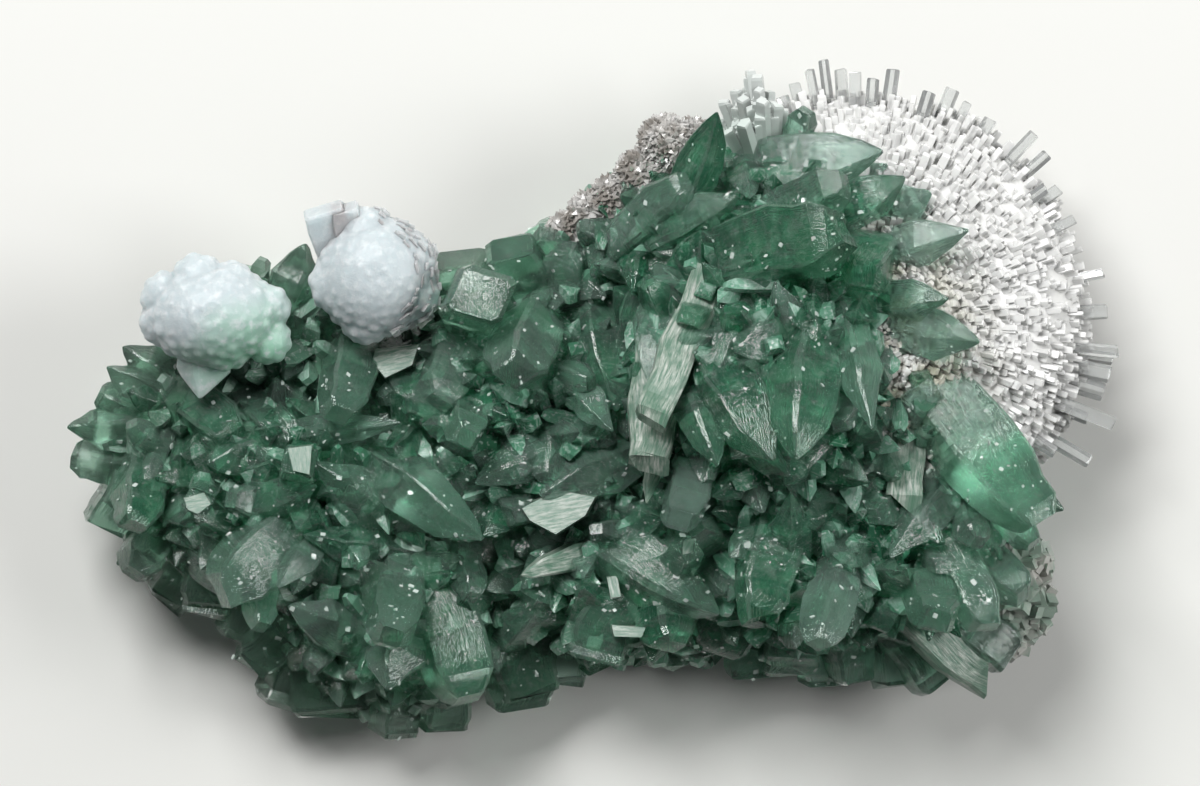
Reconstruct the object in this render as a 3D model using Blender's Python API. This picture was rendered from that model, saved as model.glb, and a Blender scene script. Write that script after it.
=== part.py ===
"""A cabinet specimen of green apophyllite with white scolecite and stilbite.

Green four-sided crystals stand out from a low mound in every direction. A ball of white
scolecite needles grows at the right, a smaller sheaf of them at the top, two white balls of
stilbite at the upper left, a grey druse along the top and a pale stilbite crust at the lower
right. The specimen was split from its rock at the back, so it lies on that flat cut.

Frame: metres, +Z up from the cut, +X to the right and +Y to the top of the face that is shown.
The origin is at the bottom centre of the bounding box. The tables are in millimetres.
"""

import math
import random
from collections import namedtuple

import bmesh
import bpy
import numpy as np

MM = 0.001

# Driving dimensions, in millimetres
SPECIMEN_WIDTH = 133.0
SPECIMEN_DEPTH = 86.0
GROWTH_GAP = 0.35  # clearance between one mineral's solid and the next
MOUND_GAP = 1.6  # clearance between the mound and what grows against it
POINT_ALLOWANCE = 2.0  # how much more than its faces a crystal's point is moved out for a gap
EDGE_ALLOWANCE = 1.3  # how much more its edges are
SEED = 7
FLAT_ANGLE = math.radians(1.0)  # faces within this angle of each other are one face
UNFOLDED = 0.3  # least cosine between a triangle's directions before and after a merge
SHORT_EDGE = 0.36  # edges along the joins that are shorter than this are closed up

# A growth habit gives the crystal's breadth, as a share of its greatest, at shares of its length.
HABITS = {
    "blade": ((0.0, 0.62), (0.38, 1.0), (0.74, 0.74), (1.0, 0.07)),
    "point": ((0.0, 0.82), (0.55, 1.0), (1.0, 0.06)),
    "stout": ((0.0, 0.86), (0.50, 1.0), (0.80, 0.92), (1.0, 0.50)),
    "tablet": ((0.0, 0.86), (0.80, 1.0), (1.0, 0.84)),
    "broken": ((0.0, 0.90), (0.60, 1.0), (1.0, 0.82)),
}

Crystal = namedtuple("Crystal", "habit root tip width depth roll")

# Green crystals, as habit, root and tip (x, y, z), greatest width and depth, and the turn about the
# crystal's own axis in degrees: 0 shows a flat face upwards and 45 shows an edge.
RIGHT_CRYSTALS = (
    # along the top, over the white needles
    Crystal("blade", (15.5, 27.4, 22), (35.9, 30.8, 30), 9.0, 6.6, 20),
    Crystal("stout", (21.5, 22.0, 27), (31.0, 27.0, 33), 7.0, 6.0, 30),
    Crystal("point", (29.0, 22.0, 25), (38.6, 27.6, 29), 6.4, 5.6, 15),
    Crystal("blade", (10.6, 22.5, 24), (15.1, 35.4, 36), 6.6, 5.4, 38),
    Crystal("stout", (16.5, 17.4, 30), (30.8, 20.8, 40), 10.2, 8.0, 15),
    Crystal("stout", (35.0, 19.6, 28), (33.2, 15.2, 43), 6.6, 6.6, 10),
    Crystal("point", (34.0, 17.6, 31), (46.4, 20.9, 38), 6.4, 5.4, 30),
    Crystal("point", (34.4, 22.6, 27), (42.0, 25.6, 33), 6.6, 5.6, 45),
    Crystal("stout", (25.0, 31.0, 24), (26.2, 36.0, 29), 4.2, 3.8, 30),
    # down the right side
    Crystal("point", (35.0, 12.0, 30), (43.8, 12.4, 37), 5.6, 5.0, 25),
    Crystal("point", (36.5, 9.4, 28), (47.8, 7.0, 35), 7.2, 5.8, 40),
    Crystal("point", (31.0, 11.5, 32), (34.0, -3.8, 43), 6.2, 5.4, 42),
    Crystal("broken", (39.2, 7.0, 29), (38.4, -13.4, 33), 5.0, 3.6, 0),
    Crystal("stout", (40.2, 3.2, 30), (55.4, -15.6, 37), 10.8, 7.6, 22),
    Crystal("point", (48.5, -9.4, 17), (58.5, -13.9, 23), 6.4, 5.0, 35),
    Crystal("stout", (49.0, -12.2, 24), (54.9, -18.2, 28), 5.0, 4.4, 20),
    Crystal("point", (45.2, -9.6, 28), (36.6, -19.8, 37), 6.4, 5.6, 30),
    Crystal("stout", (46.0, -13.0, 26), (47.6, -18.0, 33), 5.4, 4.8, 40),
    Crystal("stout", (43.0, -16.0, 24), (48.9, -28.6, 31), 7.0, 5.8, 25),
    Crystal("stout", (41.0, -22.5, 20), (42.4, -27.6, 32), 6.6, 6.0, 12),
    Crystal("stout", (48.0, -18.8, 18), (53.4, -24.8, 23), 6.2, 5.2, 30),
    # striated fan at the lower right
    Crystal("broken", (35.6, -24.0, 15), (48.6, -35.4, 13), 5.6, 5.0, 8),
    Crystal("broken", (43.0, -25.0, 14), (52.0, -32.4, 12), 7.0, 6.0, 12),
    Crystal("broken", (35.0, -24.0, 12), (43.2, -36.4, 9), 7.4, 6.4, 18),
    Crystal("broken", (30.4, -25.0, 14), (32.2, -35.6, 9), 7.6, 6.4, 30),
    Crystal("broken", (25.6, -24.0, 14), (24.2, -33.8, 8), 8.2, 7.0, 10),
    # the lower middle
    Crystal("stout", (30.4, -20.6, 24), (27.8, -30.4, 34), 7.4, 6.2, 42),
    Crystal("stout", (23.2, -13.8, 27), (20.0, -27.8, 34), 7.6, 6.6, 12),
    Crystal("point", (24.6, -21.5, 28), (24.2, -11.6, 36), 5.8, 5.0, 45),
    Crystal("stout", (12.2, -8.2, 26), (10.4, -15.2, 36), 5.6, 5.0, 5),
    Crystal("tablet", (8.4, -23.0, 18), (11.8, -18.6, 27), 4.2, 3.8, 20),
    Crystal("blade", (-1.0, -17.2, 22), (15.6, -27.0, 29), 9.8, 7.8, 30),
    Crystal("stout", (8.0, -22.6, 18), (9.6, -31.0, 23), 8.6, 7.2, 40),
    Crystal("stout", (19.0, -22.6, 16), (14.8, -31.6, 11), 9.4, 8.4, 15),
    Crystal("broken", (2.2, -23.6, 17), (-0.4, -32.6, 16), 8.4, 7.0, 10),
    Crystal("broken", (29.0, -24.0, 10), (28.6, -36.0, 7), 8.0, 6.4, 20),
    Crystal("broken", (38.0, -24.0, 9), (38.4, -36.4, 7), 8.0, 6.4, 25),
    Crystal("broken", (20.4, -24.0, 9), (19.6, -35.0, 7), 7.4, 6.4, 12),
    Crystal("broken", (-0.6, -28.0, 11), (0.2, -33.6, 8), 6.6, 5.8, 25),
    # the middle of the face
    Crystal("blade", (12.6, 8.0, 30), (22.0, -7.6, 41), 9.2, 6.8, 25),
    Crystal("blade", (11.0, 4.0, 28), (15.2, -8.4, 37), 6.8, 5.4, 38),
    Crystal("point", (17.0, -4.0, 30), (24.2, -9.6, 36), 4.8, 4.2, 30),
    Crystal("blade", (26.8, 8.8, 29), (24.6, -7.8, 41), 10.2, 8.0, 32),
    Crystal("broken", (14.2, 15.6, 31), (6.8, -3.0, 39), 4.6, 3.6, 0),
    Crystal("broken", (7.8, 7.0, 31), (6.8, -8.4, 37), 6.0, 4.2, 0),
    Crystal("blade", (8.4, -4.0, 31), (6.4, -13.0, 34), 2.8, 2.2, 20),
    Crystal("blade", (18.0, 22.0, 31), (14.8, 8.0, 38), 4.6, 4.0, 42),
    Crystal("blade", (19.0, 12.5, 27), (15.0, 3.0, 33), 5.0, 4.4, 45),
    # the grey-green crystals below the druse
    Crystal("blade", (-1.6, 18.4, 24), (15.6, 16.0, 34), 8.0, 6.0, 18),
    Crystal("blade", (4.2, 18.0, 27), (17.8, 25.2, 36), 8.0, 6.4, 35),
    Crystal("stout", (2.4, 18.6, 22), (11.4, 27.0, 31), 6.8, 5.6, 28),
)

LEFT_CRYSTALS = (
    # the middle, left of the pale cleaved blades
    Crystal("tablet", (-15.8, 10.4, 12), (-14.0, 13.2, 30), 9.4, 8.0, 20),
    Crystal("broken", (-8.6, 12.6, 17), (-10.6, 19.0, 24), 7.2, 4.6, 5),
    Crystal("broken", (-16.0, 12.0, 12), (-17.6, 17.6, 15), 8.6, 6.6, 15),
    Crystal("stout", (-7.6, 10.4, 20), (-10.4, 3.0, 34), 9.4, 8.4, 30),
    Crystal("blade", (-0.6, 12.0, 20), (2.8, -1.6, 28), 8.8, 7.2, 35),
    Crystal("point", (-3.4, 3.0, 22), (2.2, -4.0, 30), 4.8, 4.2, 30),
    Crystal("stout", (-29.6, 8.4, 20), (-32.0, -2.2, 33), 7.2, 6.6, 20),
    Crystal("stout", (-24.4, 10.4, 24), (-26.0, 3.0, 36), 6.8, 6.2, 30),
    Crystal("point", (-27.2, 6.6, 17), (-18.0, -4.2, 28), 9.6, 7.8, 28),
    Crystal("stout", (-17.0, 8.4, 13), (-19.6, -0.8, 22), 7.6, 6.4, 15),
    Crystal("stout", (-16.2, -1.6, 18), (-16.0, -4.8, 30), 5.8, 5.4, 25),
    Crystal("blade", (-41.4, -5.2, 20), (-24.2, -3.0, 27), 4.6, 3.8, 40),
    Crystal("blade", (-30.0, -6.4, 22), (-13.8, -17.6, 31), 8.2, 6.0, 15),
    Crystal("blade", (-2.6, -5.0, 20), (-15.0, -10.6, 24), 6.4, 5.4, 38),
    Crystal("blade", (6.4, -6.0, 24), (-7.0, -12.2, 30), 7.8, 6.0, 28),
    Crystal("tablet", (-9.0, -16.2, 20), (0.4, -12.0, 30), 5.6, 3.6, 0),
    Crystal("blade", (1.6, -18.2, 22), (-9.4, -22.2, 27), 3.8, 3.2, 10),
    # the lower middle
    Crystal("point", (-25.0, -15.4, 26), (-35.0, -7.9, 36), 6.8, 5.4, 30),
    Crystal("point", (-23.6, -19.6, 24), (-36.4, -17.0, 33), 5.8, 4.8, 35),
    Crystal("point", (-35.0, -17.0, 23), (-39.4, -23.6, 31), 5.0, 4.4, 25),
    Crystal("stout", (-42.8, -20.8, 21), (-41.6, -28.6, 29), 5.2, 4.6, 40),
    Crystal("blade", (-43.4, -25.6, 20), (-54.2, -19.4, 25), 4.2, 3.4, 20),
    Crystal("stout", (-24.4, -22.6, 22), (-25.2, -29.6, 38), 7.6, 7.2, 18),
    Crystal("stout", (-17.2, -16.6, 24), (-15.4, -25.0, 31), 5.4, 4.8, 42),
    Crystal("point", (-24.2, -28.4, 15), (-26.0, -36.4, 23), 8.2, 7.0, 30),
    Crystal("stout", (-19.8, -24.6, 16), (-15.8, -37.6, 21), 9.6, 7.6, 20),
    Crystal("point", (-12.6, -31.6, 19), (-6.4, -25.2, 28), 5.6, 4.8, 30),
    Crystal("broken", (-10.4, -27.4, 10), (-8.8, -37.6, 8), 9.6, 8.0, 12),
    Crystal("broken", (-24.8, -35.6, 8), (-25.9, -42.6, 6), 7.4, 7.0, 35),
    Crystal("broken", (-18.4, -35.2, 8), (-19.4, -41.4, 6), 7.6, 7.0, 20),
    Crystal("broken", (-34.6, -31.0, 8), (-34.0, -40.0, 6), 11.0, 7.6, 5),
    Crystal("broken", (-37.0, -31.2, 9), (-40.6, -38.8, 7), 7.0, 6.4, 30),
    Crystal("broken", (-11.4, -29.6, 8), (-9.4, -38.6, 6), 9.6, 7.0, 10),
    Crystal("broken", (-3.6, -28.0, 8), (-3.4, -36.0, 6), 5.2, 5.0, 15),
    Crystal("stout", (-2.6, 12.0, 14), (-4.4, 19.2, 18), 6.8, 5.6, 20),
    Crystal("broken", (-37.6, -28.4, 12), (-43.8, -33.4, 11), 6.4, 6.0, 15),
    Crystal("point", (-28.8, -30.6, 18), (-38.4, -25.8, 26), 6.6, 5.6, 25),
    # round the left end
    Crystal("point", (-57.0, -3.6, 12), (-66.5, -3.6, 15), 5.8, 5.2, 30),
    Crystal("stout", (-58.6, -8.2, 11), (-66.0, -7.4, 12), 6.0, 4.4, 40),
    Crystal("broken", (-58.4, -9.6, 11), (-62.2, -16.4, 10), 6.8, 6.6, 15),
    Crystal("stout", (-57.0, -7.8, 18), (-57.4, -16.2, 27), 7.6, 6.2, 25),
    Crystal("point", (-53.4, -17.6, 11), (-60.4, -20.9, 12), 5.8, 5.2, 30),
    Crystal("stout", (-55.2, -16.6, 12), (-58.0, -22.0, 17), 6.4, 5.6, 15),
    Crystal("broken", (-51.4, -20.6, 9), (-54.6, -25.6, 8), 7.6, 6.8, 20),
    Crystal("broken", (-48.6, -20.8, 9), (-49.4, -26.4, 7), 8.4, 7.4, 10),
    Crystal("broken", (-43.6, -24.4, 8), (-45.8, -30.4, 7), 6.0, 5.6, 25),
    Crystal("point", (-53.2, 2.0, 13), (-59.6, 6.6, 15), 5.6, 5.0, 35),
    Crystal("point", (-54.6, -0.6, 12), (-61.4, 4.0, 14), 5.4, 4.8, 20),
    Crystal("stout", (-56.0, -2.2, 13), (-62.6, 0.6, 14), 5.6, 5.0, 40),
    Crystal("blade", (-53.0, -2.6, 20), (-57.6, -13.0, 26), 3.0, 2.6, 30),
    # the left of the face
    Crystal("point", (-39.6, 10.5, 12), (-36.2, 19.8, 16), 6.0, 5.2, 20),
    Crystal("point", (-42.8, 10.6, 12), (-43.8, 16.0, 16), 6.6, 5.4, 35),
    Crystal("stout", (-45.4, 1.4, 17), (-37.8, -5.6, 25), 6.2, 5.4, 30),
    Crystal("stout", (-53.4, 1.4, 16), (-44.8, -4.8, 24), 7.6, 6.2, 20),
    Crystal("blade", (-52.6, -6.8, 18), (-35.0, -8.0, 25), 7.6, 6.2, 35),
    Crystal("tablet", (-36.8, -10.2, 16), (-36.9, -7.8, 28), 4.8, 4.4, 10),
    Crystal("tablet", (-48.6, -11.4, 17), (-49.4, -13.0, 27), 4.4, 4.0, 25),
    Crystal("blade", (-47.0, -14.6, 18), (-34.6, -10.8, 26), 6.6, 5.6, 30),
    Crystal("stout", (-37.4, -15.4, 17), (-46.8, -24.4, 24), 9.4, 7.6, 15),
    Crystal("blade", (-52.0, -17.6, 16), (-43.4, -24.4, 22), 6.4, 5.4, 35),
)

# Small crystals that close the gaps between those above
FILLER_TRIES = 900
FILLER_COUNT = 22
FILLER_SPACING = 8.0
FILLER_LEVELS = (0.15, 0.85)  # the height at which one leaves its dome, as a share of the dome's
FILLER_LENGTH = (7.5, 12.0)
FILLER_WIDTH = (3.6, 6.0)
FILLER_FLATNESS = 0.86  # depth as a share of width
FILLER_SUNK = 0.45  # share of its length that is inside the mound
FILLER_LEAN = 0.35  # how far it may lean to each side of straight out
FILLER_HABITS = ("point", "broken", "point", "stout")

# The mound that the crystals grow from: domes as centre x, y and radii x, y and height
MOUND = (
    (-52.0, -7.0, 10.5, 13.5, 15.0),
    (-39.0, 6.5, 16.0, 10.5, 16.0),
    (-37.0, -12.0, 19.0, 15.5, 20.0),
    (-25.0, -26.5, 17.0, 13.5, 17.0),
    (-9.0, -2.5, 20.5, 19.0, 21.0),
    (-2.5, 15.0, 9.5, 7.5, 17.0),
    (3.0, -21.0, 18.0, 12.5, 19.0),
    (10.5, -24.0, 10.5, 9.6, 14.0),
    (22.0, 5.0, 20.5, 24.0, 31.0),
    (24.0, 21.5, 15.0, 13.0, 26.0),
    (36.0, -1.5, 9.5, 12.5, 25.0),
    (28.0, -17.0, 21.0, 15.5, 25.0),
    (41.0, -15.0, 13.0, 17.0, 21.0),
    (8.0, 20.0, 10.5, 9.5, 22.0),
)
MOUND_FULLNESS = 2.6  # 2 gives half ellipsoids, and more gives flatter tops and steeper sides
MOUND_OVERLAP = 0.5  # a point this far under a neighbouring dome isn't on the mound's surface
ROOT_SINK = 2.0  # how far under the mound's surface a crystal's root lies, at the least

# The ball of needles: its centre, and the core's radii outwards, upwards and downwards
SPRAY_CENTRE = (33.0, 9.5, 12.2)
SPRAY_CORE = (28.8, 12.8, 11.4)
SPRAY_NEEDLES = 30
SPRAY_NEEDLE_REACH = (30.0, 31.8)  # the tips' distance from the centre, level with it
SPRAY_NEEDLE_WIDTH = (1.5, 2.3)
SPRAY_NEEDLE_ROOT = 0.9  # a needle's root, as a share of the way out to the core's surface
SPRAY_BEARINGS = (-44.0, 108.0)  # degrees from +X round to +Y
SPRAY_SLOPES = (-0.30, 0.80)  # sines of the lowest and the highest needle's rise
NEEDLE_TIP = 0.88  # a needle's width at its tip, as a share of that at its root
NEEDLE_TURN = 37.0  # degrees about its own axis from one needle to the next

Needle = namedtuple("Needle", "bearing rise reach width")

# Single needles that stand out from the ball: bearing and rise in degrees, reach and width
SPRAY_LONG_NEEDLES = (
    Needle(-31.0, 4, 34.4, 2.2),
    Needle(-33.5, 10, 31.8, 2.0),
    Needle(-22.6, 0, 31.4, 2.0),
    Needle(-21.6, 8, 36.2, 2.3),
    Needle(-15.8, 3, 32.4, 3.0),
    Needle(-11.6, 4, 32.8, 2.8),
    Needle(-6.4, 6, 33.8, 2.0),
    Needle(-8.0, 2, 32.6, 2.2),
    Needle(2.6, 4, 31.8, 2.4),
    Needle(11.4, 3, 31.8, 1.7),
    Needle(25.6, 8, 31.6, 1.7),
    Needle(33.6, 5, 31.0, 2.0),
    Needle(35.8, 9, 30.8, 1.9),
    Needle(41.6, 3, 32.2, 1.9),
    Needle(47.0, 6, 33.4, 1.8),
    Needle(56.8, 4, 31.0, 2.2),
    Needle(63.4, 3, 31.2, 1.5),
    Needle(67.8, 3, 32.0, 2.4),
    Needle(72.8, 8, 31.8, 2.2),
    Needle(82.0, 4, 32.6, 2.2),
    Needle(86.4, 6, 31.6, 2.0),
    Needle(90.6, 6, 32.4, 2.0),
    Needle(93.8, 3, 32.2, 2.0),
    Needle(97.4, 3, 33.6, 1.7),
    Needle(100.8, 5, 33.0, 1.6),
    Needle(104.8, 3, 31.4, 1.9),
    Needle(108.4, 6, 30.8, 2.0),
)

# The sheaf at the top: prisms from one root, as tip x, y, z and width
SHEAF_ROOT = (21.6, 25.0, 15.0)
SHEAF_SPREAD = 0.22  # a root lies this share of the way from the common root to its own tip
SHEAF_PRISMS = (
    ((15.2, 35.0, 18.0), 2.6),
    ((16.0, 37.2, 20.5), 2.8),
    ((17.6, 38.6, 19.0), 3.0),
    ((18.4, 37.4, 24.0), 3.0),
    ((19.4, 41.0, 20.0), 2.4),
    ((20.2, 40.2, 23.0), 2.8),
    ((20.8, 37.0, 26.0), 3.0),
    ((21.8, 38.4, 20.0), 2.6),
    ((22.8, 36.6, 23.5), 2.8),
    ((23.6, 36.2, 19.5), 2.4),
    ((16.6, 33.4, 23.5), 3.0),
    ((18.4, 34.2, 26.5), 3.2),
)

Ball = namedtuple("Ball", "centre radii lumps tablets")

# The stilbite balls: the core, the lobes round it (centre x, y, z and radius), and the tabular
# crystals that stand out of it
LEFT_BALL = Ball(
    (-47.6, 10.4, 21.0),
    (7.8, 6.0, 6.2),
    (
        (-52.4, 13.2, 21.4, 3.5),
        (-46.8, 14.6, 22.4, 3.7),
        (-41.2, 11.2, 21.6, 3.5),
        (-41.4, 7.2, 20.6, 2.9),
        (-53.6, 9.0, 21.0, 3.5),
        (-47.0, 5.6, 21.0, 3.2),
        (-47.8, 10.4, 25.2, 3.8),
    ),
    (Crystal("point", (-48.6, 8.0, 19.0), (-49.4, 0.0, 20.0), 7.4, 5.2, 30),),
)
RIGHT_BALL = Ball(
    (-27.0, 14.6, 20.5),
    (6.8, 7.0, 6.0),
    (
        (-29.0, 20.2, 21.0, 3.8),
        (-23.2, 16.2, 21.4, 3.7),
        (-22.8, 11.2, 21.0, 3.3),
        (-28.4, 9.4, 20.6, 3.2),
        (-32.4, 13.0, 21.0, 3.6),
        (-27.6, 14.8, 24.4, 3.6),
    ),
    (Crystal("tablet", (-32.0, 17.6, 19.0), (-33.9, 23.7, 22.0), 5.2, 4.0, 0),),
)

# Lumps of the grey druse and of the pale crust: centre x, y, z and radius
DRUSE_LUMPS = (
    (8.8, 32.2, 18.0, 3.2),
    (12.2, 32.4, 16.0, 2.6),
    (6.0, 27.8, 17.0, 3.4),
    (9.4, 28.0, 14.0, 4.2),
    (2.4, 25.2, 15.5, 2.8),
    (-0.6, 23.4, 15.0, 2.6),
    (-3.6, 20.9, 13.5, 2.4),
    (3.6, 22.6, 11.0, 4.6),
    (-0.8, 20.2, 9.5, 4.0),
)
CRUST_LUMPS = (
    (53.6, -21.2, 11.0, 3.2),
    (53.9, -26.3, 10.0, 3.4),
    (51.6, -23.6, 12.5, 3.6),
    (51.6, -29.0, 7.0, 3.4),
    (50.2, -20.4, 9.0, 3.8),
)


def clear_scene():
    for thing in list(bpy.data.objects):
        bpy.data.objects.remove(thing, do_unlink=True)


def axes_of(root, tip):
    """The crystal's unit axis, and the two directions across it: side, then upwards."""
    axis = np.subtract(tip, root)
    axis = axis / np.linalg.norm(axis)
    reference = (0.0, 0.0, 1.0) if abs(axis[2]) < 0.9 else (0.0, 1.0, 0.0)
    side = np.cross(axis, reference)
    side = side / np.linalg.norm(side)
    return axis, side, np.cross(side, axis)


def section(roll):
    """Four corners of the cross-section, one unit from the middle to its widest across and up."""
    corners = np.radians(roll + 45.0 + 90.0 * np.arange(4))
    points = np.stack([np.cos(corners), np.sin(corners)], 1)
    return points / np.abs(points).max(0)


def add_prism(mesh, rings):
    """Adds one closed solid: like rings of corners joined by quads, with the two ends filled."""
    made = [[mesh.verts.new(point) for point in ring] for ring in rings]
    count = len(made[0])
    for low, high in zip(made, made[1:]):
        for i in range(count):
            j = (i + 1) % count
            mesh.faces.new((low[i], low[j], high[j], high[i]))
    mesh.faces.new(made[0][::-1])
    mesh.faces.new(made[-1])


def add_crystal(mesh, crystal, grow=0.0):
    """Adds a crystal, made larger by at least grow millimetres on every side."""
    root, tip = np.array(crystal.root, float), np.array(crystal.tip, float)
    axis, side, up = axes_of(root, tip)
    root, tip = root - axis * grow, tip + axis * grow * POINT_ALLOWANCE
    corners = section(crystal.roll)
    rings = []
    for share, breadth in HABITS[crystal.habit]:
        middle = root + (tip - root) * share
        half = np.array([crystal.width, crystal.depth]) / 2 * breadth + grow * EDGE_ALLOWANCE
        offset = corners * half
        rings.append((middle + offset[:, :1] * side + offset[:, 1:] * up) * MM)
    add_prism(mesh, rings)


def add_ellipsoid(mesh, centre, radii, detail, grow=0.0, fullness=2.0):
    """Adds an ellipsoid whose lower radius may differ from its upper one."""
    ball = bmesh.ops.create_icosphere(mesh, subdivisions=detail, radius=1.0)["verts"]
    for vertex in ball:
        level, upright = math.hypot(vertex.co.x, vertex.co.y), abs(vertex.co.z)
        vertex.co /= (level**fullness + upright**fullness) ** (1.0 / fullness)
        down = radii[3] if vertex.co.z < 0 and len(radii) > 3 else radii[2]
        vertex.co.x = (centre[0] + vertex.co.x * (radii[0] + grow)) * MM
        vertex.co.y = (centre[1] + vertex.co.y * (radii[1] + grow)) * MM
        vertex.co.z = (centre[2] + vertex.co.z * (down + grow)) * MM


def add_lumps(mesh, lumps, detail, grow=0.0):
    for x, y, z, radius in lumps:
        add_ellipsoid(mesh, (x, y, z), (radius,) * 3, detail, grow)


def finished(name, mesh, material=None):
    """Turns a bmesh into an object, with its faces pointing out."""
    bmesh.ops.recalc_face_normals(mesh, faces=mesh.faces)
    data = bpy.data.meshes.new(name)
    mesh.to_mesh(data)
    mesh.free()
    thing = bpy.data.objects.new(name, data)
    bpy.context.scene.collection.objects.link(thing)
    if material:
        data.materials.append(material)
    return thing


def helper(name, mesh):
    thing = finished(name, mesh)
    thing.hide_render = True
    thing.display_type = "WIRE"
    return thing


def cut_away(thing, cutter):
    """Cuts one object by another, where each may be made of overlapping shapes."""
    modifier = thing.modifiers.new(cutter.name, "BOOLEAN")
    modifier.operation = "DIFFERENCE"
    modifier.object = cutter
    modifier.use_self = True


def stone(name, colour, roughness):
    material = bpy.data.materials.new(name)
    material.use_nodes = True
    shader = material.node_tree.nodes["Principled BSDF"]
    shader.inputs["Base Color"].default_value = (*colour, 1.0)
    shader.inputs["Roughness"].default_value = roughness
    shader.inputs["Metallic"].default_value = 0.0
    return material


def dome_height(x, y):
    """Height of the mound over a point, in millimetres, or 0 beyond it."""
    height = 0.0
    for centre_x, centre_y, radius_x, radius_y, top in MOUND:
        off = math.hypot((x - centre_x) / radius_x, (y - centre_y) / radius_y)
        if off < 1.0:
            rise = (1.0 - off**MOUND_FULLNESS) ** (1.0 / MOUND_FULLNESS)
            height = max(height, top * rise)
    return height


def in_spray(point):
    """Whether a point lies inside the needle ball's core."""
    offset = np.subtract(point, SPRAY_CENTRE)
    upright = SPRAY_CORE[1] if offset[2] > 0 else SPRAY_CORE[2]
    return math.hypot(offset[0] / SPRAY_CORE[0], offset[1] / SPRAY_CORE[0], offset[2] / upright) < 1.0


def seated(crystal):
    """The crystal, lowered until its root is under the mound's surface."""
    surface = dome_height(crystal.root[0], crystal.root[1]) - ROOT_SINK
    drop = max(0.0, crystal.root[2] - surface)
    root, tip = np.array(crystal.root, float), np.array(crystal.tip, float)
    return crystal._replace(root=root - (0, 0, drop), tip=tip - (0, 0, drop))


def fillers():
    """Small crystals over the mound, each leaning out along the dome that it grows from."""
    draw = random.Random(SEED)
    found = []
    for _ in range(FILLER_TRIES):
        centre_x, centre_y, radius_x, radius_y, top = draw.choice(MOUND)
        turn, level = draw.uniform(0, 2 * math.pi), draw.uniform(*FILLER_LEVELS)
        reach = (1.0 - level**MOUND_FULLNESS) ** (1.0 / MOUND_FULLNESS)
        lean = (draw.uniform(-FILLER_LEAN, FILLER_LEAN), draw.uniform(-FILLER_LEAN, FILLER_LEAN))
        length = draw.uniform(*FILLER_LENGTH)
        width = draw.uniform(*FILLER_WIDTH)
        roll, habit = draw.uniform(0, 90), draw.choice(FILLER_HABITS)
        x = centre_x + radius_x * reach * math.cos(turn)
        y = centre_y + radius_y * reach * math.sin(turn)
        z = top * level
        if len(found) == FILLER_COUNT:
            break
        if dome_height(x, y) > z + MOUND_OVERLAP:
            continue
        if any(math.dist((x, y, z), other.root) < FILLER_SPACING for other in found):
            continue
        out = np.array(
            [
                (reach * math.cos(turn) + lean[0]) / radius_x,
                (reach * math.sin(turn) + lean[1]) / radius_y,
                level / top,
            ]
        )
        out = out / np.linalg.norm(out)
        root = np.array([x, y, z]) - out * length * FILLER_SUNK
        tip = root + out * length
        if min(root[2], tip[2]) < width or in_spray(tip) or in_spray((x, y, z)):
            continue
        found.append(Crystal(habit, tuple(root), tuple(tip), width, width * FILLER_FLATNESS, roll))
    return found


def add_needle(mesh, root, tip, width, roll, grow=0.0):
    """Adds a square prism, a little narrower at its tip."""
    axis, side, up = axes_of(root, tip)
    root, tip = np.array(root) - axis * grow, np.array(tip) + axis * grow
    corners = section(roll)
    rings = []
    for middle, half in ((root, width / 2 + grow), (tip, width / 2 * NEEDLE_TIP + grow)):
        offset = corners * half
        rings.append((middle + offset[:, :1] * side + offset[:, 1:] * up) * MM)
    add_prism(mesh, rings)


def spray_needles():
    """Needles spread evenly over the part of the ball that shows, and the long single ones."""
    draw = random.Random(SEED + 1)
    chosen = list(SPRAY_LONG_NEEDLES)
    low, high = SPRAY_BEARINGS
    golden = (math.sqrt(5.0) - 1.0) / 2.0
    for i, slope in enumerate(np.linspace(*SPRAY_SLOPES, SPRAY_NEEDLES)):
        bearing = low + (high - low) * ((i * golden) % 1.0)
        rise = math.degrees(math.asin(slope))
        reach = draw.uniform(*SPRAY_NEEDLE_REACH)
        chosen.append(Needle(bearing, rise, reach, draw.uniform(*SPRAY_NEEDLE_WIDTH)))
    return chosen


def spray(grow=0.0):
    """The ball of needles: a core of needles grown solid, and the ones whose tips stand free."""
    mesh = bmesh.new()
    wide, high, low = SPRAY_CORE
    centre = np.array(SPRAY_CENTRE)
    add_ellipsoid(mesh, centre, (wide, wide, high, low), 3, grow)
    for i, needle in enumerate(spray_needles()):
        bearing, rise = math.radians(needle.bearing), math.radians(needle.rise)
        level = math.cos(rise)
        towards = np.array([level * math.cos(bearing), level * math.sin(bearing), math.sin(rise)])
        flat = (high if rise > 0 else low) / wide
        squash = 1.0 / math.hypot(level, towards[2] / flat)
        tip = centre + towards * needle.reach * squash
        root = centre + towards * wide * squash * SPRAY_NEEDLE_ROOT
        if dome_height(root[0], root[1]) < root[2]:
            add_needle(mesh, root, tip, needle.width, NEEDLE_TURN * i, grow)
    return mesh


def sheaf(grow=0.0):
    """Prisms that spread from one root."""
    mesh = bmesh.new()
    common = np.array(SHEAF_ROOT)
    for i, (tip, width) in enumerate(SHEAF_PRISMS):
        root = common + (np.array(tip) - common) * SHEAF_SPREAD
        add_needle(mesh, root, tip, width, NEEDLE_TURN * i, grow)
    return mesh


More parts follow.
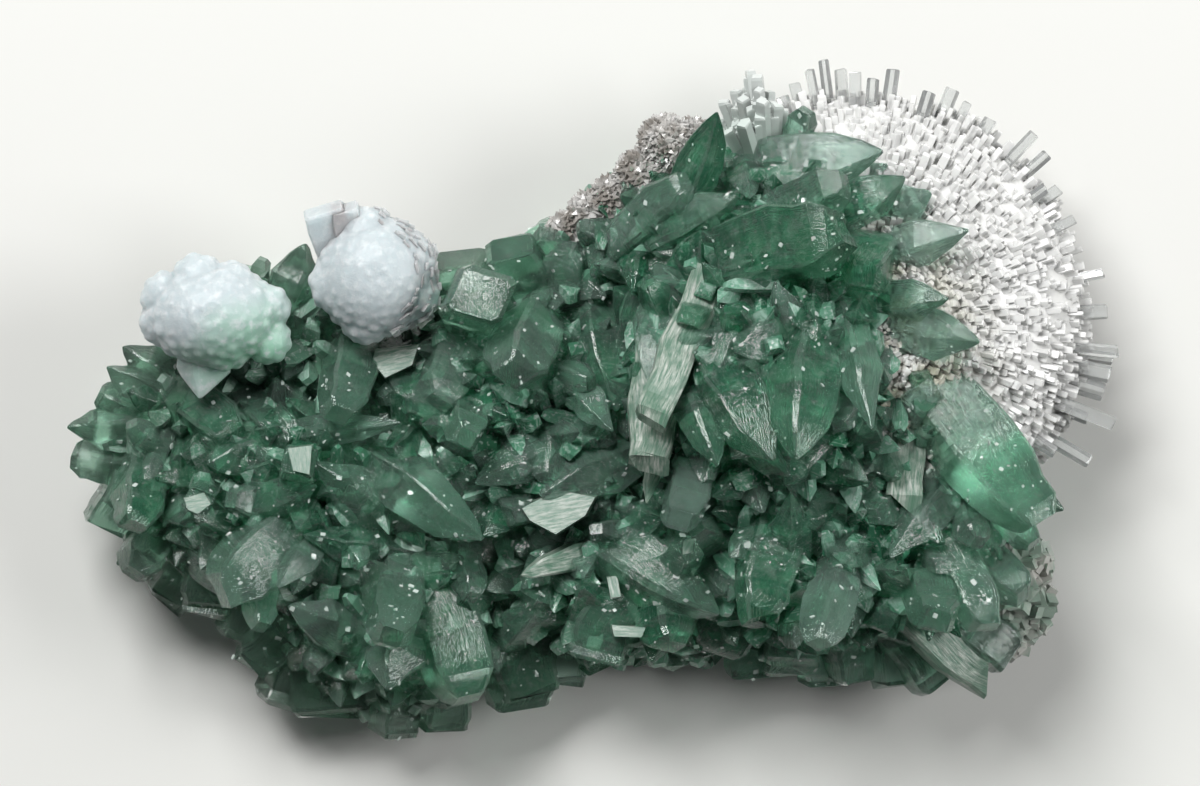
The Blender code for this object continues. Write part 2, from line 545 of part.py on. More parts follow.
def ball(shape, grow=0.0):
    """A rounded core crowded with lobes, and its tabular crystals."""
    mesh = bmesh.new()
    add_ellipsoid(mesh, shape.centre, shape.radii, 2, grow)
    add_lumps(mesh, shape.lumps, 2, grow)
    for crystal in shape.tablets:
        add_crystal(mesh, crystal, grow)
    return mesh


def rock():
    """A box that stands for the rock under the cut, wider than the specimen."""
    mesh = bmesh.new()
    bmesh.ops.create_cube(mesh, size=1.0)
    for vertex in mesh.verts:
        vertex.co.x *= 2 * SPECIMEN_WIDTH * MM
        vertex.co.y *= 2 * SPECIMEN_DEPTH * MM
        vertex.co.z = 0.0 if vertex.co.z > 0 else -SPECIMEN_DEPTH * MM
    return mesh


def cluster(crystals, grow=0.0, mound_grow=0.0):
    """The mound and every green crystal, still as overlapping closed shapes."""
    mesh = bmesh.new()
    for x, y, radius_x, radius_y, top in MOUND:
        add_ellipsoid(mesh, (x, y, 0.0), (radius_x, radius_y, top), 2, mound_grow, MOUND_FULLNESS)
    for crystal in crystals:
        add_crystal(mesh, crystal, grow)
    return mesh


def crust(lumps, grow=0.0):
    """Faceted lumps, crowded into one crust."""
    mesh = bmesh.new()
    add_lumps(mesh, lumps, 1, grow)
    return mesh


def connected_parts(mesh):
    """The groups of faces that join one another along edges."""
    waiting, groups = set(mesh.faces), []
    for first in mesh.faces:
        if first not in waiting:
            continue
        waiting.discard(first)
        group, front = [], [first]
        while front:
            face = front.pop()
            group.append(face)
            for edge in face.edges:
                reached = [other for other in edge.link_faces if other in waiting]
                waiting.difference_update(reached)
                front.extend(reached)
        groups.append(group)
    return groups


def may_close(edge):
    """Whether an edge can shrink to its middle with the surface still closed and unfolded."""
    ends = edge.verts
    around = [{link.other_vert(end) for link in end.link_edges} for end in ends]
    if len(around[0] & around[1]) != 2:
        return False
    middle = (ends[0].co + ends[1].co) / 2
    for end in ends:
        for face in end.link_faces:
            if edge in face.edges:
                continue
            moved = [middle if corner is end else corner.co for corner in face.verts]
            normal = (moved[1] - moved[0]).cross(moved[2] - moved[0])
            if normal.dot(face.normal) <= UNFOLDED * normal.length:
                return False
    return True


def close_short_edges(mesh):
    """Merges the slivers that the joins leave, shortest edge first."""
    bmesh.ops.dissolve_limit(mesh, angle_limit=FLAT_ANGLE, verts=mesh.verts, edges=mesh.edges)
    bmesh.ops.triangulate(mesh, faces=mesh.faces)
    for edge in sorted(mesh.edges, key=lambda edge: edge.calc_length()):
        if edge.is_valid and edge.calc_length() < SHORT_EDGE * MM and may_close(edge):
            middle = (edge.verts[0].co + edge.verts[1].co) / 2
            bmesh.ops.pointmerge(mesh, verts=list(edge.verts), merge_co=middle)
            mesh.normal_update()


def one_body(name, thing, material):
    """Joins the overlapping shapes, and drops closed pockets and the chips that a cut leaves."""
    mesh = bmesh.new()
    mesh.from_object(thing, bpy.context.evaluated_depsgraph_get())
    groups = connected_parts(mesh)
    groups.sort(key=lambda faces: sum(face.calc_area() for face in faces))
    for group in groups[:-1]:
        bmesh.ops.delete(mesh, geom=group, context="FACES")
    close_short_edges(mesh)
    bpy.data.objects.remove(thing, do_unlink=True)
    return finished(name, mesh, material)


def build():
    clear_scene()
    crystals = [seated(crystal) for crystal in RIGHT_CRYSTALS + LEFT_CRYSTALS]
    crystals += fillers()
    green = stone("apophyllite", (0.24, 0.50, 0.36), 0.15)
    white = stone("scolecite", (0.88, 0.88, 0.86), 0.4)
    pearl = stone("stilbite", (0.80, 0.84, 0.83), 0.45)
    grey = stone("druse", (0.48, 0.45, 0.41), 0.6)

    pale = stone("crust", (0.70, 0.72, 0.68), 0.6)
    growths = (
        ("apophyllite_cluster", cluster(crystals), cluster(crystals, GROWTH_GAP, MOUND_GAP), green),
        ("scolecite_spray", spray(), spray(GROWTH_GAP), white),
        ("scolecite_sheaf", sheaf(), sheaf(GROWTH_GAP), white),
        ("stilbite_ball_left", ball(LEFT_BALL), ball(LEFT_BALL, GROWTH_GAP), pearl),
        ("stilbite_ball_right", ball(RIGHT_BALL), ball(RIGHT_BALL, GROWTH_GAP), pearl),
        ("grey_druse", crust(DRUSE_LUMPS), crust(DRUSE_LUMPS, GROWTH_GAP), grey),
        ("pale_crust", crust(CRUST_LUMPS), None, pale),
    )
    earlier = [helper("rock_below_the_cut", rock())]
    for name, mesh, room, material in growths:
        thing = finished(name + "_shapes", mesh)
        for cutter in earlier:
            cut_away(thing, cutter)
        one_body(name, thing, material)
        if room:
            earlier.append(helper(name + "_room", room))


build()
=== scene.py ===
"""A cabinet specimen of green apophyllite with white scolecite and stilbite, on its cut back.

The pieces follow the specimen: the clear green crystals, the mound under them, the small
crystals that cover it, the needle ball, the needle sheaf, the two stilbite balls, the grey
druse and the pale crust. Lengths are in millimetres until a mesh is made.
"""

import bpy
import numpy as np
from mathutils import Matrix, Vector


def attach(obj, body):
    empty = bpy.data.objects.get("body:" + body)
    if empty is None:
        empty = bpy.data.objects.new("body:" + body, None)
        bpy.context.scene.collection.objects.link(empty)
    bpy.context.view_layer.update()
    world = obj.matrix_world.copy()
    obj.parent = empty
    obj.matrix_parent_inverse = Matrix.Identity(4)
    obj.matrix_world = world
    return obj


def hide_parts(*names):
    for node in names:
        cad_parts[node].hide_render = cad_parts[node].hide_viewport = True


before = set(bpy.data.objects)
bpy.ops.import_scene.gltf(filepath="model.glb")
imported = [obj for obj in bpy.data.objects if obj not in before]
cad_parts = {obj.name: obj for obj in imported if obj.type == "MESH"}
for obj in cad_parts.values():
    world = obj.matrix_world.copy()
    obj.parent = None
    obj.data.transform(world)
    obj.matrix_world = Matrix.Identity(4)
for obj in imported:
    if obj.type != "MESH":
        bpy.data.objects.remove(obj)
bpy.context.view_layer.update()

# The clear green crystals. Apophyllite grows as square prisms with steep pyramids, here swollen to
# lens shapes, with its faces striated along the length. They grew through each other from the
# mound, so where two cross they are one body of crystal.

# Breadth, as a share of the greatest, at seven shares of the length from the root
HABITS = {
    "blade": ((0.0, 0.62), (0.2, 0.85), (0.38, 1.0), (0.56, 0.92), (0.74, 0.74), (0.89, 0.40), (1.0, 0.06)),
    "point": ((0.0, 0.82), (0.28, 0.93), (0.55, 1.0), (0.68, 0.76), (0.8, 0.50), (0.91, 0.26), (1.0, 0.06)),
    "stout": ((0.0, 0.86), (0.25, 0.95), (0.5, 1.0), (0.7, 0.96), (0.82, 0.90), (0.93, 0.68), (1.0, 0.48)),
    "tablet": ((0.0, 0.86), (0.3, 0.93), (0.55, 0.97), (0.75, 1.0), (0.9, 1.0), (0.96, 0.97), (1.0, 0.86)),
    "broken": ((0.0, 0.90), (0.25, 0.95), (0.5, 1.0), (0.7, 0.98), (0.85, 0.94), (0.95, 0.88), (1.0, 0.78)),
}

# Each crystal: habit, root and tip (x, y, z), greatest width and depth, and turn about its own axis
RIGHT_CRYSTALS = (
    # along the top, over the white needles
    ("blade", (15.5, 27.4, 22), (35.9, 30.8, 30), 9.0, 6.6, 20),
    ("stout", (21.5, 22.0, 27), (31.0, 27.0, 33), 7.0, 6.0, 30),
    ("point", (29.0, 22.0, 25), (38.6, 27.6, 29), 6.4, 5.6, 15),
    ("blade", (10.6, 22.5, 24), (15.1, 35.4, 36), 6.6, 5.4, 38),
    ("stout", (16.5, 17.4, 30), (30.8, 20.8, 40), 10.2, 8.0, 15),
    ("stout", (35.0, 19.6, 28), (33.2, 15.2, 43), 6.6, 6.6, 10),
    ("point", (34.0, 17.6, 31), (46.4, 20.9, 38), 6.4, 5.4, 30),
    ("point", (34.4, 22.6, 27), (42.0, 25.6, 33), 6.6, 5.6, 45),
    ("stout", (25.0, 31.0, 24), (26.2, 36.0, 29), 4.2, 3.8, 30),
    # down the right side
    ("point", (35.0, 12.0, 30), (43.8, 12.4, 37), 5.6, 5.0, 25),
    ("point", (36.5, 9.4, 28), (47.8, 7.0, 35), 7.2, 5.8, 40),
    ("point", (31.0, 11.5, 32), (34.0, -3.8, 43), 6.2, 5.4, 42),
    ("stout", (40.2, 3.2, 30), (55.4, -15.6, 37), 10.8, 7.6, 22),
    ("point", (48.5, -9.4, 17), (58.5, -13.9, 23), 6.4, 5.0, 35),
    ("stout", (49.0, -12.2, 24), (54.9, -18.2, 28), 5.0, 4.4, 20),
    ("point", (45.2, -9.6, 28), (36.6, -19.8, 37), 6.4, 5.6, 30),
    ("stout", (46.0, -13.0, 26), (47.6, -18.0, 33), 5.4, 4.8, 40),
    ("stout", (43.0, -16.0, 24), (48.9, -28.6, 31), 7.0, 5.8, 25),
    ("stout", (41.0, -22.5, 20), (42.4, -27.6, 32), 6.6, 6.0, 12),
    ("stout", (48.0, -18.8, 18), (53.4, -24.8, 23), 6.2, 5.2, 30),
    # striated fan at the lower right
    ("broken", (43.0, -25.0, 14), (52.0, -32.4, 12), 7.0, 6.0, 12),
    ("broken", (35.0, -24.0, 12), (43.2, -36.4, 9), 7.4, 6.4, 18),
    ("broken", (30.4, -25.0, 14), (32.2, -35.6, 9), 7.6, 6.4, 30),
    ("broken", (25.6, -24.0, 14), (24.2, -33.8, 8), 8.2, 7.0, 10),
    # the lower middle
    ("stout", (30.4, -20.6, 24), (27.8, -30.4, 34), 7.4, 6.2, 42),
    ("stout", (23.2, -13.8, 27), (20.0, -27.8, 34), 7.6, 6.6, 12),
    ("point", (24.6, -21.5, 28), (24.2, -11.6, 36), 5.8, 5.0, 45),
    ("stout", (12.2, -8.2, 26), (10.4, -15.2, 36), 5.6, 5.0, 5),
    ("tablet", (8.4, -23.0, 18), (11.8, -18.6, 27), 4.2, 3.8, 20),
    ("blade", (-1.0, -17.2, 22), (15.6, -27.0, 29), 9.8, 7.8, 30),
    ("stout", (8.0, -22.6, 18), (9.6, -31.0, 23), 8.6, 7.2, 40),
    ("stout", (19.0, -22.6, 16), (14.8, -31.6, 11), 9.4, 8.4, 15),
    ("broken", (2.2, -23.6, 17), (-0.4, -32.6, 16), 8.4, 7.0, 10),
    ("broken", (29.0, -24.0, 10), (28.6, -36.0, 7), 8.0, 6.4, 20),
    ("broken", (38.0, -24.0, 9), (38.4, -36.4, 7), 8.0, 6.4, 25),
    ("broken", (20.4, -24.0, 9), (19.6, -35.0, 7), 7.4, 6.4, 12),
    ("broken", (-0.6, -28.0, 11), (0.2, -33.6, 8), 6.6, 5.8, 25),
    # the middle of the face
    ("blade", (12.6, 8.0, 30), (22.0, -7.6, 41), 9.2, 6.8, 25),
    ("blade", (11.0, 4.0, 28), (15.2, -8.4, 37), 6.8, 5.4, 38),
    ("point", (17.0, -4.0, 30), (24.2, -9.6, 36), 4.8, 4.2, 30),
    ("blade", (26.8, 8.8, 29), (24.6, -7.8, 41), 10.2, 8.0, 32),
    ("blade", (18.0, 22.0, 31), (14.8, 8.0, 38), 4.6, 4.0, 42),
    ("blade", (19.0, 12.5, 27), (15.0, 3.0, 33), 5.0, 4.4, 45),
    # the grey-green crystals below the druse
    ("blade", (-1.6, 18.4, 24), (15.6, 16.0, 34), 8.0, 6.0, 18),
    ("blade", (4.2, 18.0, 27), (17.8, 25.2, 36), 8.0, 6.4, 35),
    ("stout", (2.4, 18.6, 22), (11.4, 27.0, 31), 6.8, 5.6, 28),
)

LEFT_CRYSTALS = (
    # the middle, left of the pale cleaved blades
    ("tablet", (-15.8, 10.4, 12), (-14.0, 13.2, 30), 9.4, 8.0, 20),
    ("broken", (-8.6, 12.6, 17), (-10.6, 19.0, 24), 7.2, 4.6, 5),
    ("broken", (-16.0, 12.0, 12), (-17.6, 17.6, 15), 8.6, 6.6, 15),
    ("stout", (-7.6, 10.4, 20), (-10.4, 3.0, 34), 9.4, 8.4, 30),
    ("blade", (-0.6, 12.0, 20), (2.8, -1.6, 28), 8.8, 7.2, 35),
    ("point", (-3.4, 3.0, 22), (2.2, -4.0, 30), 4.8, 4.2, 30),
    ("stout", (-29.6, 8.4, 20), (-32.0, -2.2, 33), 7.2, 6.6, 20),
    ("stout", (-24.4, 10.4, 24), (-26.0, 3.0, 36), 6.8, 6.2, 30),
    ("point", (-27.2, 6.6, 17), (-18.0, -4.2, 28), 9.6, 7.8, 28),
    ("stout", (-17.0, 8.4, 13), (-19.6, -0.8, 22), 7.6, 6.4, 15),
    ("stout", (-16.2, -1.6, 18), (-16.0, -4.8, 30), 5.8, 5.4, 25),
    ("blade", (-41.4, -5.2, 20), (-24.2, -3.0, 27), 4.6, 3.8, 40),
    ("blade", (-30.0, -6.4, 22), (-13.8, -17.6, 31), 8.2, 6.0, 62),
    ("blade", (-2.6, -5.0, 20), (-15.0, -10.6, 24), 6.4, 5.4, 38),
    ("blade", (6.4, -6.0, 24), (-7.0, -12.2, 30), 7.8, 6.0, 28),
    # the lower middle
    ("point", (-25.0, -15.4, 26), (-35.0, -7.9, 36), 6.8, 5.4, 30),
    ("point", (-23.6, -19.6, 24), (-36.4, -17.0, 33), 5.8, 4.8, 35),
    ("point", (-35.0, -17.0, 23), (-39.4, -23.6, 31), 5.0, 4.4, 25),
    ("stout", (-42.8, -20.8, 21), (-41.6, -28.6, 29), 5.2, 4.6, 40),
    ("blade", (-43.4, -25.6, 20), (-54.2, -19.4, 25), 4.2, 3.4, 20),
    ("stout", (-24.4, -22.6, 22), (-25.2, -29.6, 38), 7.6, 7.2, 18),
    ("stout", (-17.2, -16.6, 24), (-15.4, -25.0, 31), 5.4, 4.8, 42),
    ("point", (-24.2, -28.4, 15), (-26.0, -36.4, 23), 8.2, 7.0, 30),
    ("stout", (-19.8, -24.6, 16), (-15.8, -37.6, 21), 9.6, 7.6, 20),
    ("point", (-12.6, -31.6, 19), (-6.4, -25.2, 28), 5.6, 4.8, 30),
    ("broken", (-10.4, -27.4, 10), (-8.8, -37.6, 8), 9.6, 8.0, 12),
    ("broken", (-24.8, -35.6, 8), (-25.9, -42.6, 6), 7.4, 7.0, 35),
    ("broken", (-18.4, -35.2, 8), (-19.4, -41.4, 6), 7.6, 7.0, 20),
    ("broken", (-34.6, -31.0, 8), (-34.0, -40.0, 6), 11.0, 7.6, 5),
    ("broken", (-37.0, -31.2, 9), (-40.6, -38.8, 7), 7.0, 6.4, 30),
    ("broken", (-11.4, -29.6, 8), (-9.4, -38.6, 6), 9.6, 7.0, 10),
    ("broken", (-3.6, -28.0, 8), (-3.4, -36.0, 6), 5.2, 5.0, 15),
    ("stout", (-2.6, 12.0, 14), (-4.4, 19.2, 18), 6.8, 5.6, 20),
    ("broken", (-37.6, -28.4, 12), (-43.8, -33.4, 11), 6.4, 6.0, 15),
    ("point", (-28.8, -30.6, 18), (-38.4, -25.8, 26), 6.6, 5.6, 25),
    # round the left end
    ("point", (-57.0, -3.6, 12), (-66.5, -3.6, 15), 5.8, 5.2, 30),
    ("stout", (-58.6, -8.2, 11), (-66.0, -7.4, 12), 6.0, 4.4, 40),
    ("broken", (-58.4, -9.6, 11), (-62.2, -16.4, 10), 6.8, 6.6, 15),
    ("stout", (-57.0, -7.8, 18), (-57.4, -16.2, 27), 7.6, 6.2, 25),
    ("point", (-53.4, -17.6, 11), (-60.4, -20.9, 12), 5.8, 5.2, 30),
    ("stout", (-55.2, -16.6, 12), (-58.0, -22.0, 17), 6.4, 5.6, 15),
    ("broken", (-51.4, -20.6, 9), (-54.6, -25.6, 8), 7.6, 6.8, 20),
    ("broken", (-48.6, -20.8, 9), (-49.4, -26.4, 7), 8.4, 7.4, 10),
    ("broken", (-43.6, -24.4, 8), (-45.8, -30.4, 7), 6.0, 5.6, 25),
    ("point", (-53.2, 2.0, 13), (-59.6, 6.6, 15), 5.6, 5.0, 35),
    ("point", (-54.6, -0.6, 12), (-61.4, 4.0, 14), 5.4, 4.8, 20),
    ("stout", (-56.0, -2.2, 13), (-62.6, 0.6, 14), 5.6, 5.0, 40),
    ("blade", (-53.0, -2.6, 20), (-57.6, -13.0, 26), 3.0, 2.6, 30),
    # the left of the face
    ("point", (-39.6, 10.5, 12), (-36.2, 19.8, 16), 6.0, 5.2, 20),
    ("point", (-42.8, 10.6, 12), (-43.8, 16.0, 16), 6.6, 5.4, 35),
    ("stout", (-45.4, 1.4, 17), (-37.8, -5.6, 25), 6.2, 5.4, 30),
    ("stout", (-53.4, 1.4, 16), (-44.8, -4.8, 24), 7.6, 6.2, 20),
    ("blade", (-52.6, -6.8, 18), (-35.0, -8.0, 25), 7.6, 6.2, 35),
    ("tablet", (-36.8, -10.2, 16), (-36.9, -7.8, 28), 4.8, 4.4, 10),
    ("tablet", (-48.6, -11.4, 17), (-49.4, -13.0, 27), 4.4, 4.0, 25),
    ("blade", (-47.0, -14.6, 18), (-34.6, -10.8, 26), 6.6, 5.6, 30),
    ("stout", (-37.4, -15.4, 17), (-46.8, -24.4, 24), 9.4, 7.6, 15),
    ("blade", (-52.0, -17.6, 16), (-43.4, -24.4, 22), 6.4, 5.4, 35),
)


# The mound's domes: centre x and y, radii x and y, and height
MOUND = np.array(
    [
        (-52.0, -7.0, 10.5, 13.5, 15.0),
        (-39.0, 6.5, 16.0, 10.5, 16.0),
        (-37.0, -12.0, 19.0, 15.5, 20.0),
        (-25.0, -26.5, 17.0, 13.5, 17.0),
        (-9.0, -2.5, 20.5, 19.0, 21.0),
        (-2.5, 15.0, 9.5, 7.5, 17.0),
        (3.0, -21.0, 18.0, 12.5, 19.0),
        (10.5, -24.0, 10.5, 9.6, 14.0),
        (22.0, 5.0, 20.5, 24.0, 31.0),
        (24.0, 21.5, 15.0, 13.0, 26.0),
        (36.0, -1.5, 9.5, 12.5, 25.0),
        (28.0, -17.0, 21.0, 15.5, 25.0),
        (41.0, -15.0, 13.0, 17.0, 21.0),
        (8.0, 20.0, 10.5, 9.5, 22.0),
    ]
)

# The same domes with their centres' height, how full they are (2 is an ellipsoid), and how deep
# under them the root of a named crystal lies
DOMES = np.insert(MOUND, 2, 0.0, axis=1)
MOUND_FULLNESS = 2.6
ROOT_SINK = 2.0

# Every seeded choice comes from this one sequence, in the order in which the pieces are made
draw = np.random.default_rng(11)


def mound_height(x, y):
    """h = max over the domes of top (1 - r^f)^(1/f), where r is the distance from the dome's middle."""
    cx, cy, rx, ry, top = (MOUND[:, k] for k in range(5))
    r = np.hypot((x[..., None] - cx) / rx, (y[..., None] - cy) / ry)
    rise = np.maximum(1.0 - np.minimum(r, 1.0) ** MOUND_FULLNESS, 0.0)
    return (top * rise ** (1.0 / MOUND_FULLNESS)).max(-1)


def arrays_of(rows):
    """The crystals of a table as arrays of roots, tips, sizes across, turns and profiles."""
    root, tip, size = (np.array([row[k] for row in rows], float) for k in (1, 2, slice(3, 5)))
    turn = np.array([row[5] for row in rows], float)
    return root, tip, size, turn, np.array([HABITS[row[0]] for row in rows])


def bodies_of(rows):
    """The same arrays, with each crystal lowered until its root is under the mound."""
    root, tip, size, turn, profile = arrays_of(rows)
    surface = mound_height(root[:, 0], root[:, 1]) - ROOT_SINK
    drop = np.maximum(0.0, root[:, 2] - surface)[:, None] * (0.0, 0.0, 1.0)
    return root - drop, tip - drop, size, turn, profile


def unit(vectors):
    """Vectors over their own lengths, v / |v|."""
    return vectors / np.linalg.norm(vectors, axis=1)[:, None]


def on_dome(u, fullness):
    """Directions scaled onto a superellipsoid of radius 1, u / (level^f + upright^f)^(1/f)."""
    level, upright = np.hypot(u[..., 0], u[..., 1]), np.abs(u[..., 2])
    return u / ((level**fullness + upright**fullness) ** (1.0 / fullness))[..., None]


def strewn(domes, count, fullness, whole=False):
    """Random points on the outside of overlapping superellipsoids, and the directions out of them.

    Domes are centre x, y, z and radii x, y, z, and points inside another dome are left out."""
    share = np.prod(domes[:, 3:], 1) ** (2.0 / 3.0)
    pick = draw.choice(len(domes), count, p=share / share.sum())
    centre, radii = domes[pick, :3], domes[pick, 3:]
    u = draw.normal(size=(count, 3))
    if not whole:
        u[:, 2] = np.abs(u[:, 2])
    u = on_dome(u, fullness)
    level, upright = np.hypot(u[:, 0], u[:, 1]), np.abs(u[:, 2])
    points = centre + u * radii
    sideways = u[:, :2] * level[:, None] ** (fullness - 2)
    out = unit(np.column_stack([sideways, u[:, 2] * upright ** (fullness - 2)]) / radii)
    off = np.abs(points[:, None] - domes[:, :3]) / domes[:, 3:]
    depth = np.hypot(off[..., 0], off[..., 1]) ** fullness + off[..., 2] ** fullness
    depth[np.arange(count), pick] = 2.0
    free = (depth > 0.98).all(1)
    return points[free], out[free]


def spaced(points, gap):
    """Which points are kept so that no two are closer than the gap, first come first kept."""
    kept = []
    for i, point in enumerate(points):
        if not kept or (np.linalg.norm(points[kept] - point, axis=1) > gap).all():
            kept.append(i)
    return np.array(kept)


def crystal_rings(root, tip, size, roll, profile, bevel=None, crooked=0.03, slant=0.2):
    """Points (n, rings, 8, 3) of n crystals.

    Ring k lies at root + t_k (tip - root). Its corners are the middle + b_k (x w side + y d up) / 2,
    where (x, y) goes round a square with its four corners cut off by the bevel. The end face is
    slanted, and the middles stray a little from the axis, as in grown crystals."""
    axis = tip - root
    length = np.linalg.norm(axis, axis=1)[:, None]
    axis = axis / length
    steep = np.abs(axis[:, 2:]) >= 0.9
    side = np.cross(axis, np.where(steep, (0.0, 1.0, 0.0), (0.0, 0.0, 1.0)))
    side /= np.linalg.norm(side, axis=1)[:, None]
    up = np.cross(side, axis)
    angle = np.radians(roll[:, None] + 45.0 - 90.0 * np.arange(4))
    square = np.stack([np.cos(angle), np.sin(angle)], -1)
    square /= np.abs(square).max(1)[:, None]
    corner = square[:, None]
    if bevel is not None:
        cut = np.reshape(bevel, (-1, 1, 1))
        before, after = np.roll(square, 1, 1), np.roll(square, -1, 1)
        corner = np.stack([square + cut * (before - square), square + cut * (after - square)], 2)
        corner = corner.reshape(len(root), 1, 8, 2)
    profile = np.broadcast_to(profile, (len(root), *np.shape(profile)[-2:]))
    share, breadth = profile[..., 0], profile[..., 1]
    breadth = breadth * (1.0 + crooked * draw.normal(size=breadth.shape))
    offset = corner * (size[:, None] * breadth[..., None])[:, :, None] / 2
    stray = crooked * size.min(1)[:, None, None] * draw.normal(size=(*breadth.shape, 2))
    stray[:, 0] = 0.0
    offset = offset + (stray * breadth[..., None])[:, :, None]
    lean = slant * draw.normal(size=(len(root), 1, 2))
    lift = np.zeros(offset.shape[:3])
    lift[:, -1] = (offset[:, -1] * lean).sum(-1) - np.abs(lean).sum(-1) * size.min(1)[:, None] * 0.1
    middle = root[:, None] + axis[:, None] * (share * length)[..., None]
    return (
        middle[:, :, None]
        + offset[..., :1] * side[:, None, None]
        + offset[..., 1:] * up[:, None, None]
        + lift[..., None] * axis[:, None, None]
    )


def skin_of(rings):
    """Face corners and corner counts of closed skins over rings (n, k, s, 3)."""
    n, k, s = rings.shape[:3]
    index = np.arange(n * k * s).reshape(n, k, s)
    onward = np.roll(index, -1, 2)
    sides = np.stack([index[:, :-1], onward[:, :-1], onward[:, 1:], index[:, 1:]], -1).reshape(-1, 4)
    ends = np.stack([index[:, 0, ::-1], index[:, -1]], 1).reshape(-1, s)
    return np.concatenate([sides.ravel(), ends.ravel()]), np.repeat([4, s], [len(sides), len(ends)])


def facet_map(rings):
    """UV of each face corner in mm: across the face and along the crystal, shifted crystal by crystal."""
    n, k, s = rings.shape[:3]
    shift = draw.uniform(0, 400, (n, 1, 1, 2))
    wide = np.linalg.norm(np.roll(rings, -1, 2) - rings, axis=-1)
    across = wide[:, :1].cumsum(-1) * np.ones((n, k, s))
    middle = rings.mean(2)
    along = np.linalg.norm(middle - middle[:, :1], axis=-1)[:, :, None] * np.ones((n, k, s))
    low = np.stack([across, along], -1) + shift
    onward = low + np.stack([wide, 0 * wide], -1)
    sides = np.stack([low[:, :-1], onward[:, :-1], onward[:, 1:], low[:, 1:]], 3).reshape(-1, 2)
    flat = (rings[..., :2] + shift)[:, [0, -1]]
    ends = np.stack([flat[:, 0, ::-1], flat[:, 1]], 1).reshape(-1, 2)
    return np.concatenate([sides, ends])


def growth_map(rings, tone):
    """UV of each face corner: the crystal's own tone, and 1 on the narrow faces that cut its edges, where
    the green material paints a highlight.
    """
    n, k, s = rings.shape[:3]
    narrow = (np.arange(s) % 2 == 0) * (s > 4) * np.ones((n, k - 1, s))
    sides = np.stack([tone[:, None, None] * np.ones((n, k - 1, s)), narrow], -1)
    sides = np.repeat(sides.reshape(-1, 2), 4, 0)
    ends = np.repeat(np.column_stack([tone, 0 * tone]), 2 * s, 0)
    return np.concatenate([sides, ends])


def mesh_of(name, points, corners, counts, **maps):
    """A mesh from arrays of points in mm, face corners and corner counts, with UV maps by name."""
    mesh = bpy.data.meshes.new(name)
    mesh.vertices.add(points.size // 3)
    mesh.vertices.foreach_set("co", (points * 0.001).ravel())
    mesh.loops.add(len(corners))
    mesh.loops.foreach_set("vertex_index", corners)
    mesh.polygons.add(len(counts))
    mesh.polygons.foreach_set("loop_start", np.concatenate([[0], np.cumsum(counts)[:-1]]))
    mesh.update(calc_edges=True)
    for title, uv in maps.items():
        layer = mesh.uv_layers.new(name=title)
        layer.uv.foreach_set("vector", uv.astype(np.float32).ravel())
    mesh.shade_flat()
    return mesh


def placed(name, data):
    """A mesh, a lamp or a camera as an object of the scene."""
    thing = bpy.data.objects.new(name, data)
    bpy.context.scene.collection.objects.link(thing)
    return thing


def skinned(name, rings, **maps):
    """A piece made of closed skins over rings."""
    return placed(name, mesh_of(name, rings, *skin_of(rings), **maps))


def remade(piece):
    """A new mesh of the piece, as its modifiers leave it."""
    return bpy.data.meshes.new_from_object(piece.evaluated_get(bpy.context.evaluated_depsgraph_get()))


def classes_of(rings):
    """A class for each crystal, such that the boxes of one class are clear of each other."""
    low, high = rings.min((1, 2)), rings.max((1, 2))
    given = np.zeros(len(rings), int)
    for i in range(1, len(rings)):
        touching = ((low[:i] < high[i]) & (high[:i] > low[i])).all(1)
        given[i] = np.setdiff1d(np.arange(i + 1), given[:i][touching])[0]
    return given


# A ridge between two facets stays sharp where they meet at more than this, in degrees
SHARP = 24.0


def grown_together(name, rings, tone):
    """One closed mesh out of crystals that cross each other: the union of classes that don't."""
    given = classes_of(rings)
    parts = []
    for k in range(given.max() + 1):
        some = rings[given == k]
        maps = {"facets": facet_map(some), "growth": growth_map(some, tone[given == k])}
        parts.append(skinned(f"{name}_{k}", some, **maps))
    for other in parts[1:]:
        join = parts[0].modifiers.new(other.name, "BOOLEAN")
        join.operation, join.solver, join.object = "UNION", "MANIFOLD", other
    joined = remade(parts[0])
    for part in parts:
        bpy.data.objects.remove(part)
    joined.materials.clear()
    joined.shade_smooth()
    joined.set_sharp_from_angle(angle=np.radians(SHARP))
    joined.name = name
    return placed(name, joined)


def over_mound(x, y, margin):
    """Whether points lie over the plan of the mound, grown by the margin."""
    cx, cy, rx, ry = (MOUND[:, k] for k in range(4))
    away = np.hypot((x[..., None] - cx) / (rx + margin), (y[..., None] - cy) / (ry + margin))
    return (away < 1.0).any(-1)


# How strongly the seeded crystals of the mound's walls turn upwards, and how flat they are
UPWARD = 0.9
FLATNESS = (0.72, 0.95)
# Where their breadth is tested against the outline, as shares of their length and width
TEST_AT, TEST_WIDTH = 0.8, 0.45
# How high they grow at least, as a share of their greatest width, and the mound over a root in mm
LEAST_HIGH, LEAST_COVER = 0.7, 1.0


